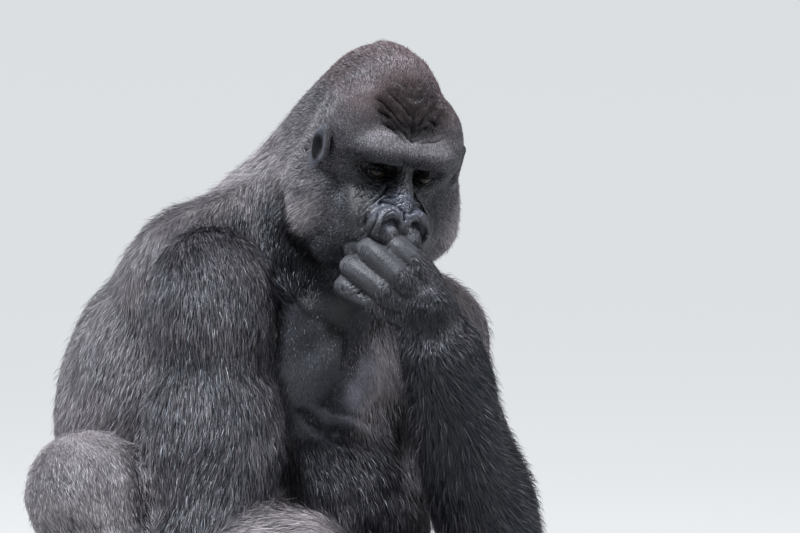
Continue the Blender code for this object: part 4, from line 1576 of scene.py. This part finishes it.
def grow(name, chosen, count, long_hair, clump_size, clump_pull, seed, axis, body_slot):
    """Grows one piece of coat, a mesh of count blades, on the chosen skin faces."""
    rng = np.random.default_rng(seed)

    # Where each blade is rooted: spread evenly by density, at a random place in its face.
    faces = np.flatnonzero(chosen)
    weight = face_area[faces] * density[corners[faces]].mean(axis=1)
    total = np.cumsum(weight)
    pick = faces[np.searchsorted(total, (np.arange(count) + rng.random(count)) / count * total[-1])]
    a, b = np.sqrt(rng.random(count)), rng.random(count)
    share = np.column_stack((1 - a, a * (1 - b), a * b))

    def at(values):
        """The skin's values at the roots of the blades."""
        near = values[corners[pick]]
        return (near * (share[:, :, None] if values.ndim == 2 else share)).sum(axis=1)

    root, up = at(points), unit(at(normals))
    way = flatten(at(lie) + rng.normal(0, 0.12, (count, 3)), up)
    side_way = np.cross(up, way)
    long = at(length) * rng.uniform(0.65, 1.2, count)
    high = at(depth) * rng.uniform(0.55, 1.1, count) * np.where(rng.random(count) < 0.07, 1.9, 1.0)
    curve = at(bend)

    # Locks: blades whose roots share a cell are drawn towards the middle of that cell.
    ragged = np.column_stack([lattice_noise(root, 0.02, seed + k) for k in range(3)])
    cell = np.floor((root + 0.006 * ragged) / clump_size)
    _, clump = np.unique(cell.astype(np.int64), axis=0, return_inverse=True)
    clump = clump.ravel()
    members = np.bincount(clump)
    centre = np.column_stack([np.bincount(clump, column) / members for column in root.T])[clump]
    gather = centre - root
    gather -= up * (gather * up).sum(axis=1, keepdims=True)
    clump_light = rng.normal(0, 1, len(members))[clump]

    # The colour of each blade, between its dark and its pale hair, times the tone of its place, which carries
    # the painted shade.
    pale_share, brown_share = at(pale), at(brown)
    mottle = lattice_noise(root, 0.045, seed) + 0.6 * lattice_noise(root, 0.018, seed + 5)
    paleness = pale_share * (1 + 0.08 * clump_light + 0.30 * mottle) + rng.normal(0, 1, count) * at(grain)
    paleness = np.clip(paleness, 0, 1)[:, None]
    dark = DARK_HAIR + (BROWN_HAIR - DARK_HAIR) * brown_share[:, None]
    light = PALE_HAIR + (RUST_HAIR - PALE_HAIR) * brown_share[:, None]
    uneven = np.exp(rng.normal(0, 0.20, count) + 0.04 * clump_light + 0.08 * mottle)
    colour = (dark + (light - dark) * paleness) * at(tone)[:, None] * uneven[:, None]

    def spine(t):
        """Where the blades are at the share t of their length, bent as the body bends."""
        run = long * t
        lift = high * (1 - (1 - t) ** 2)
        spot = root + way * (run * (1 - (curve * run) ** 2 / 6))[:, None]
        spot += up * (lift - curve * run**2 / 2)[:, None]
        return spot + gather * (clump_pull * t)

    # The points, triangles and colours of all the blades at once.
    twist = rng.normal(0, 0.45, count)
    flat = side_way * np.cos(twist)[:, None] + up * np.sin(twist)[:, None]
    width = 0.00042 + 0.0125 * at(length)
    half = (width * rng.uniform(0.7, 1.3, count) / 2)[:, None] * flat
    start = spine(0.0) - up * ROOT_SINK
    if long_hair:
        blade, mid = LONG_BLADE, spine(0.5)
        rings = [start - half * 0.7, start + half * 0.7, mid - half, mid + half, spine(1.0)]
    else:
        blade, mid = SHORT_BLADE, spine(0.45)
        rings = [start, mid - half, mid + half, spine(1.0)]
    verts = np.stack(rings, 1).reshape(-1, 3)
    verts[:, 2] = np.maximum(verts[:, 2], FLOOR_GAP)
    # Painted shade and light along each blade: darker at the root, lighter at the tip.
    colours = (colour[:, None, :] * np.array(blade["shade"])[None, :, None]).reshape(-1, 3)
    first = np.arange(count) * len(rings)
    tris = (blade["triangles"][None] + first[:, None, None]).reshape(-1, 3)
    uvs = (unrolled(root, *axis)[:, None, :] + blade["map"][None] * TUFT_PATCH).reshape(-1, 2)
    obj = new_object(name, triangles_mesh(name, verts, tris, colours, uvs))
    obj.data.materials.append(fur_material)
    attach(obj, "root")
    print(name, len(tris), "triangles")
    return obj


# %% [markdown]
# ## Hair as a material
#
# Hair is glossy along a soft band. The blades carry their own colours as points of paint, with
# painted shade and light that run from a darker root to a lighter tip. The shader adds the gloss,
# and a little waviness in the roughness, so that no two locks shine alike.


# %% Write the coat material
class Shader:
    """A material under construction: nodes are added by type and wired up by socket."""

    def __init__(self, name):
        self.material = bpy.data.materials.new(name)
        self.material.use_nodes = True
        self.tree = self.material.node_tree
        self.main = self.tree.nodes["Principled BSDF"]

    def add(self, kind, inputs=(), settings=(), links=()):
        """Adds a node; inputs are numbers for its sockets, links are sockets to read from."""
        node = self.tree.nodes.new(f"ShaderNode{kind}")
        for key, value in dict(settings).items():
            setattr(node, key, value)
        for socket, value in dict(inputs).items():
            node.inputs[socket].default_value = value
        for socket, source in dict(links).items():
            self.tree.links.new(source, node.inputs[socket])
        return node

    def surface(self, inputs=(), links=()):
        """Sets and wires the surface itself, and returns the material."""
        for socket, value in dict(inputs).items():
            self.main.inputs[socket].default_value = value
        for socket, source in dict(links).items():
            self.tree.links.new(source, self.main.inputs[socket])
        return self.material


fur = Shader("coat_hair")
paint = fur.add("Attribute", settings={"attribute_name": "coat_colour"})
place = fur.add("TexCoord")
streaks = fur.add("TexNoise", {"Scale": 60}, links={"Vector": place.outputs["Object"]})
rough = fur.add("MapRange", {"To Min": 0.30, "To Max": 0.50}, links={"Value": streaks.outputs["Fac"]})
fur_material = fur.surface(
    {"Specular IOR Level": 0.50, "Specular Tint": (0.80, 0.88, 1.0, 1)},
    {"Base Color": paint.outputs["Color"], "Roughness": rough.outputs["Result"]},
)
print("coat material has", len(fur.tree.nodes), "nodes")

# %% [markdown]
# ## Where the hair stands
#
# Density says how many tufts grow on each square metre. The head needs many fine ones, the
# long-haired arms fewer and longer ones. Bare skin keeps a sparse down.

# %% Set the density
head_part = part("head", parts)
hand_part, foot_part, ear_part = part("hand", parts), part("foot", parts), part("ear", parts)
bare_part = np.clip(bare_face(head_points) * head_part, 0, 1)
breast_part = bare_chest(points)
along_hand = np.zeros(len(points))
for side in SIDES:
    turn = HANDS[side][0]
    reach = (points - np.array(joint("wrist", side))) @ np.array(turn.col[2])
    back = normals @ np.array(turn.col[1])
    start, end = (0.078, 0.104) if side == "left" else (0.085, 0.125)
    haired = (1 - fade(reach, start, end)) * fade(back, -0.25, 0.25)
    along_hand += part(f"hand_{side}", parts) * haired
    away = np.linalg.norm(points - np.array(joint("ankle", side)), axis=1)
    top = fade(normals @ np.array(foot_back[side]), 0.1, 0.5)
    along_hand += part(f"foot_{side}", parts) * top * (1 - fade(away, 0.10, 0.15))

density = 1 - hand_part - foot_part - ear_part
density += 1.6 * along_hand + 0.3 * ear_part
density *= 0.25 + 0.75 * openness
inner_ear = np.zeros(len(points))
for sign in SIDES.values():
    inner_ear += oval(head_points, (sign * 0.129, 0.0515, 0.012), (0.020, 0.0125, 0.0215), 0.4)
inner_ear = np.clip(inner_ear, 0, 1)
density *= 1 - inner_ear
density *= (1 - 0.985 * bare_part) * (1 - 0.55 * breast_part)
grain = 0.17 + 0.22 * (part("thigh", parts) + part("shank", parts)) + 0.10 * (part("neck", parts) + head_part)
short_hair = np.clip(hand_part + foot_part + ear_part, 0, 1)
length = np.where(short_hair > 0.5, np.minimum(length, 0.016), length)

face_parts = parts[corners].mean(axis=1)
face_spot = points[corners].mean(axis=1)
face_rear = front_and_back(face_spot, normals[corners].mean(axis=1))
face_head = in_head(face_spot)
trunk = part("chest", face_parts) + part("abdomen", face_parts)
claims = {
    "head_front": part("head", face_parts) * fade(face_head[:, 1], 0.0, 0.03) + part("ear", face_parts) * 0.2,
    "head_back": part("head", face_parts) * (1 - fade(face_head[:, 1], 0.0, 0.03)) + part("ear", face_parts),
    "neck": part("neck", face_parts),
    "back": trunk * face_rear,
    "breast": trunk * (1 - face_rear),
}
for side in SIDES:
    claims[f"upper_arm_{side}"] = part(f"upper_arm_{side}", face_parts)
    claims[f"forearm_{side}"] = part(f"forearm_{side}", face_parts) + part(f"hand_{side}", face_parts)
    claims[f"leg_{side}"] = sum(part(f"{name}_{side}", face_parts) for name in ("thigh", "shank", "foot"))
owner = np.argmax(np.stack(list(claims.values())), axis=0)
face_weight = face_area * density[corners].mean(axis=1)
for number, name in enumerate(claims):
    print(name, "needs hair on", round(float(face_weight[owner == number].sum()), 3), "square metres")

# %% [markdown]
# Hair could be curves or particles, but only real mesh can be handed on to other programs. So
# each region of the body gets its own mesh of blades. The arms get long ones with a bend.

# %% Grow the coat
AXES = {
    "head_front": (on_head(0, -0.05, -0.25), on_head(0, 0.02, 0.2)),
    "head_back": (on_head(0, -0.05, -0.25), on_head(0, 0.02, 0.2)),
    "neck": (middle("chest"), head_at),
    "back": (middle("abdomen"), middle("neck")),
    "breast": (middle("abdomen"), middle("neck")),
}
TUFTS = {
    "head_front": 98000, "head_back": 60000, "neck": 60000, "back": 98000, "breast": 40000,
    "upper_arm": 45000, "forearm": 50000, "leg": 45000,
}
LONG_CLUMPS, HEAD_CLUMPS, OTHER_CLUMPS = (0.009, 0.35), (0.005, 0.1), (0.007, 0.15)  # size, pull
COAT_SEED = 40
coat_pieces = []
for number, name in enumerate(claims):
    side = name.rsplit("_", 1)[-1]
    if name.startswith("upper_arm"):
        AXES[name] = (joint("shoulder", side), joint("elbow", side))
    elif name.startswith("forearm"):
        AXES[name] = (joint("elbow", side), joint("wrist", side))
    elif name.startswith("leg"):
        AXES[name] = (joint("hip", side), joint("knee", side))
    slot = "silver_coat" if name in ("neck", "back", "leg_right", "leg_left") else "coat"
    on_arm = "arm" in name
    clumps = HEAD_CLUMPS if name.startswith("head") else LONG_CLUMPS if on_arm else OTHER_CLUMPS
    count = TUFTS[name.replace("_right", "").replace("_left", "")]
    seed = COAT_SEED + number
    piece = grow(f"coat_{name}", owner == number, count, on_arm, *clumps, seed, AXES[name], slot)
    coat_pieces.append(piece)
total = sum(len(piece.data.polygons) for piece in coat_pieces)
print("the coat has", total, "triangles in", len(coat_pieces), "pieces")

# %% [markdown]
# ## The skin's colours, painted light and shade, and finish
#
# Bare gorilla skin is near black, leathery, with a soft sheen that turns wet on the nose. Under
# the coat the skin is painted with the coat's own colours, darker, as painted shade at the roots.
# On bare skin, painted shade darkens the sockets, the hollows beside the nose, the creases, the
# undersides and the top of the breast, and painted light brightens the ridges, the nose and the
# lower breast.

# %% Paint the skin
mean_hair = pale[:, None] * (PALE_HAIR + (RUST_HAIR - PALE_HAIR) * brown[:, None])
mean_hair += (1 - pale)[:, None] * (DARK_HAIR + (BROWN_HAIR - DARK_HAIR) * brown[:, None])
bare = np.clip(bare_part + breast_part * 0.9, 0, 1)
digits = np.clip(hand_part + foot_part - along_hand, 0, 1)
# Under the coat: the hair's mean colour, darker as painted shade at the roots, times the coat's painted
# shade.
skin_colour = mean_hair * 0.62 * tone[:, None]
BARE_SKINS = (  # which places, and the colour of bare skin there
    (bare, srgb(46, 48, 56)),
    (breast_part, srgb(74, 75, 84)),
    (digits, srgb(70, 71, 78)),
    (ear_part, srgb(64, 66, 76)),
)
for places, colour in BARE_SKINS:
    skin_colour += (colour - skin_colour) * places[:, None]
nose_part = oval(head_points, (0, 0.145, -0.050), (0.050, 0.035, 0.040), 0.4) * head_part
socket_part = np.zeros(len(points))
for side in SIDES:
    ball = in_head(np.array([eye_at[side]]))[0] + (0, 0, 0.006)
    socket_part += oval(head_points, ball, (0.046, 0.036, 0.026), 0.7)
socket_part = np.clip(socket_part, 0, 1)
# How deep each place lies in a crease: below, it paints shade into the creases and light onto the ridges.
hollow = ((smoothed(points, skin_edges, 4) - points) * normals).sum(axis=1)
hollow = np.clip(smoothed(hollow[:, None], skin_edges, 1)[:, 0] / 0.00035, -1, 1)
below_head = points[:, 2] - head_at[2]
# Painted light on the left breast, where the light falls on it.
lit_left_breast = oval(from_head(points), (0.005, 0.012, -0.375), (0.060, 0.070, 0.075), 0.6)
# Painted shade: bare skin and digits that face downward are darker.
shaded_underside = np.clip((bare + digits) * (1 - fade(normals[:, 2], -0.4, 0.6)), 0, 1)
# Painted shade in the hollows beside the nose.
TONES = [(-0.45, places) for places in beside_nose(head_points)]
TONES += [  # how much lighter or darker, and which places; most of these are painted shade and light
    # Painted shade in the eye sockets, under the brow.
    (-0.90, socket_part),
    # The nose: partly paler skin, partly painted highlight for its wet shine.
    (2.40, nose_part),
    # Painted shade in the creases, painted light on the ridges.
    (-0.60, hollow),
    (-0.90, inner_ear),
    (-0.55, shaded_underside),
    # Painted shade on the top of the breast, below the throat.
    (-0.60, breast_part * fade(below_head, -0.345, -0.27)),
    (1.10, lit_left_breast * (1 - digits)),
    # Painted light on the lower breast.
    (0.55, breast_part * (1 - fade(below_head, -0.36, -0.30))),
]
for change, places in TONES:
    skin_colour *= 1 + change * places[:, None]
paint_points(skin.data, "skin_colour", skin_colour, np.ones(len(points)))
shine = 0.18 + 0.42 * np.clip(bare + digits + ear_part, 0, 1)
shine *= (1 - 0.85 * inner_ear) * (1 - 0.75 * socket_part) * (1 - 0.5 * np.maximum(hollow, 0))
paint_points(skin.data, "skin_finish", np.clip(nose_part, 0, 1), np.clip(bare + digits, 0, 1), digits, shine)

leather = Shader("bare_skin")
paint = leather.add("Attribute", settings={"attribute_name": "skin_colour"})
kind = leather.add("Attribute", settings={"attribute_name": "skin_finish"})
split = leather.add("SeparateColor", links={"Color": kind.outputs["Color"]})
here = {"Vector": leather.add("TexCoord").outputs["Object"]}
multiply = {"data_type": "RGBA", "blend_type": "MULTIPLY"}
blotches = leather.add("TexNoise", {"Scale": 45, "Detail": 6}, links=here)
shift = leather.add("MapRange", {"To Min": 0.6, "To Max": 1.4}, links={"Value": blotches.outputs["Fac"]})
mixed = leather.add("Mix", {"Factor": 1.0}, multiply, {6: paint.outputs["Color"], 7: shift.outputs["Result"]})
rough = leather.add("MapRange", {"To Min": 0.52, "To Max": 0.30}, links={"Value": split.outputs["Red"]})
cracks = leather.add("TexVoronoi", {"Scale": 230}, {"feature": "DISTANCE_TO_EDGE"}, here)
distance = cracks.outputs["Distance"]
# Painted shade along the fine creases of bare skin; the same lines also bump it below.
lines = leather.add("MapRange", {"From Max": 0.22, "To Min": 0.62}, links={"Value": distance})
creased = leather.add("Mix", settings=multiply, links={
    "Factor": split.outputs["Green"], 6: mixed.outputs[2], 7: lines.outputs["Result"],
})
pores = leather.add("TexNoise", {"Scale": 900, "Detail": 3}, links=here)
first = leather.add("Bump", {"Distance": 0.0012, "Strength": 0.6}, links={"Height": distance})
second = leather.add("Bump", {"Distance": 0.0003, "Strength": 0.5}, links={
    "Height": pores.outputs["Fac"], "Normal": first.outputs["Normal"],
})
skin_material = leather.surface(links={
    "Base Color": creased.outputs[2],
    "Roughness": rough.outputs["Result"],
    "Normal": second.outputs["Normal"],
    "Specular IOR Level": kind.outputs["Alpha"],
})
skin.data.materials.clear()
skin.data.materials.append(skin_material)
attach(skin, "root")
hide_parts(*[name for name in nodes if not name.startswith("eye")])
print("skin painted:", len(points), "points")

# %% [markdown]
# ## The eyes
#
# A ball with a bulge for the cornea, a dark brown white-of-the-eye and an amber iris. One
# material paints the rings by the distance from the line of sight.

# %% Make the eyes
EYE_RINGS = (  # distance from the line of sight, from 0 to 1, and the colour there
    (0.0, (0.003, 0.002, 0.002, 1)),
    (0.19, (0.003, 0.002, 0.002, 1)),
    (0.23, (0.016, 0.010, 0.006, 1)),
    (0.42, (0.030, 0.020, 0.011, 1)),
    (0.52, (0.02, 0.010, 0.006, 1)),
    (0.58, (0.014, 0.009, 0.008, 1)),
    (1.0, (0.012, 0.008, 0.007, 1)),
)
GAZE = Vector((-0.15, 1.0, -0.10))
CORNEA_EDGE, CORNEA_HEIGHT = 0.55, 0.0010
eye = Shader("eye")
place = eye.add("Attribute", settings={"attribute_name": "eye_ring"})
ramp = eye.add("ValToRGB", links={"Fac": place.outputs["Fac"]})
rings = ramp.color_ramp
rings.elements[0].color, rings.elements[1].color = EYE_RINGS[0][1], EYE_RINGS[-1][1]
for spot, colour in EYE_RINGS[1:-1]:
    rings.elements.new(spot).color = colour
eye_material = eye.surface(
    {"Roughness": 0.10, "Specular IOR Level": 0.25}, {"Base Color": ramp.outputs["Color"]}
)
sight = (head_turn @ GAZE).normalized()
turn = sight.to_track_quat("Z", "Y").to_matrix()
radius = eye_radius + 0.0012
for side in SIDES:
    ball = bmesh.new()
    bmesh.ops.create_uvsphere(ball, u_segments=48, v_segments=32, radius=radius)
    ring = []
    for vertex in ball.verts:
        out = math.acos(max(-1, min(1, vertex.co.z / radius)))
        ring.append(out / math.pi * 2)
        if out < CORNEA_EDGE:
            vertex.co.z += CORNEA_HEIGHT * math.cos(out / CORNEA_EDGE * math.pi / 2)
        vertex.co = turn @ vertex.co + eye_at[side]
    eyeball = clay_object(f"eyeball_{side}", ball)
    eyeball.data.attributes.new("eye_ring", "FLOAT", "POINT").data.foreach_set("value", ring)
    shade_smooth(eyeball.data)
    eyeball.data.materials.append(eye_material)
    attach(eyeball, "root")
    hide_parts(f"eye_{side}")
print("eyes look along", [round(v, 2) for v in sight])

# %% [markdown]
# ## Floor and light
#
# A plain floor and a dim sky. A broad, slightly blue sun from above and behind, as through thin
# cloud, draws the pale rim on the back and the lap. Two weak lamps help it: one behind the
# animal, and one in front that opens the face a little.

# %% Light the scene
floor_mesh = bmesh.new()
bmesh.ops.create_grid(floor_mesh, x_segments=1, y_segments=1, size=120)
floor = clay_object("floor", floor_mesh)
floor_material = Shader("floor").surface({"Base Color": (0.56, 0.56, 0.55, 1), "Roughness": 0.9})
floor.data.materials.append(floor_material)

sky = bpy.data.worlds.new("sky")
sky.use_nodes = True
sky.node_tree.nodes["Background"].inputs["Color"].default_value = (0.80, 0.85, 0.95, 1)
sky.node_tree.nodes["Background"].inputs["Strength"].default_value = 0.08
bpy.context.scene.world = sky

LAMP_AIM = Vector((0.05, 0.05, 0.6))


def light(name, kind, way, power, colour):
    """A light that shines along the given way."""
    lamp = bpy.data.lights.new(name, kind)
    lamp.energy, lamp.color = power, colour
    lamp_object = new_object(name, lamp)
    lamp_object.rotation_mode = "QUATERNION"
    lamp_object.rotation_quaternion = Vector(way).to_track_quat("-Z", "Y")
    return lamp_object


def soft_light(name, place, size, power, colour):
    lamp = light(name, "AREA", LAMP_AIM - Vector(place), power, colour)
    lamp.data.shape, lamp.data.size, lamp.location = "DISK", size, place


sun = light("overcast", "SUN", (0.62, 0.10, -1.20), 4.8, (0.93, 0.965, 1.0))
sun.data.angle = math.radians(14)
soft_light("rim", (-1.2, 2.6, 2.0), 1.4, 30, (0.90, 0.94, 1.0))
soft_light("second", (1.45, -2.40, 2.50), 1.2, 50, (0.95, 0.97, 1.0))
bpy.context.scene.view_settings.view_transform = "Standard"
print("lights set")

# %% [markdown]
# The guide has done its work, so it is removed.

# %% Remove the guide
bpy.data.objects.remove(guide)
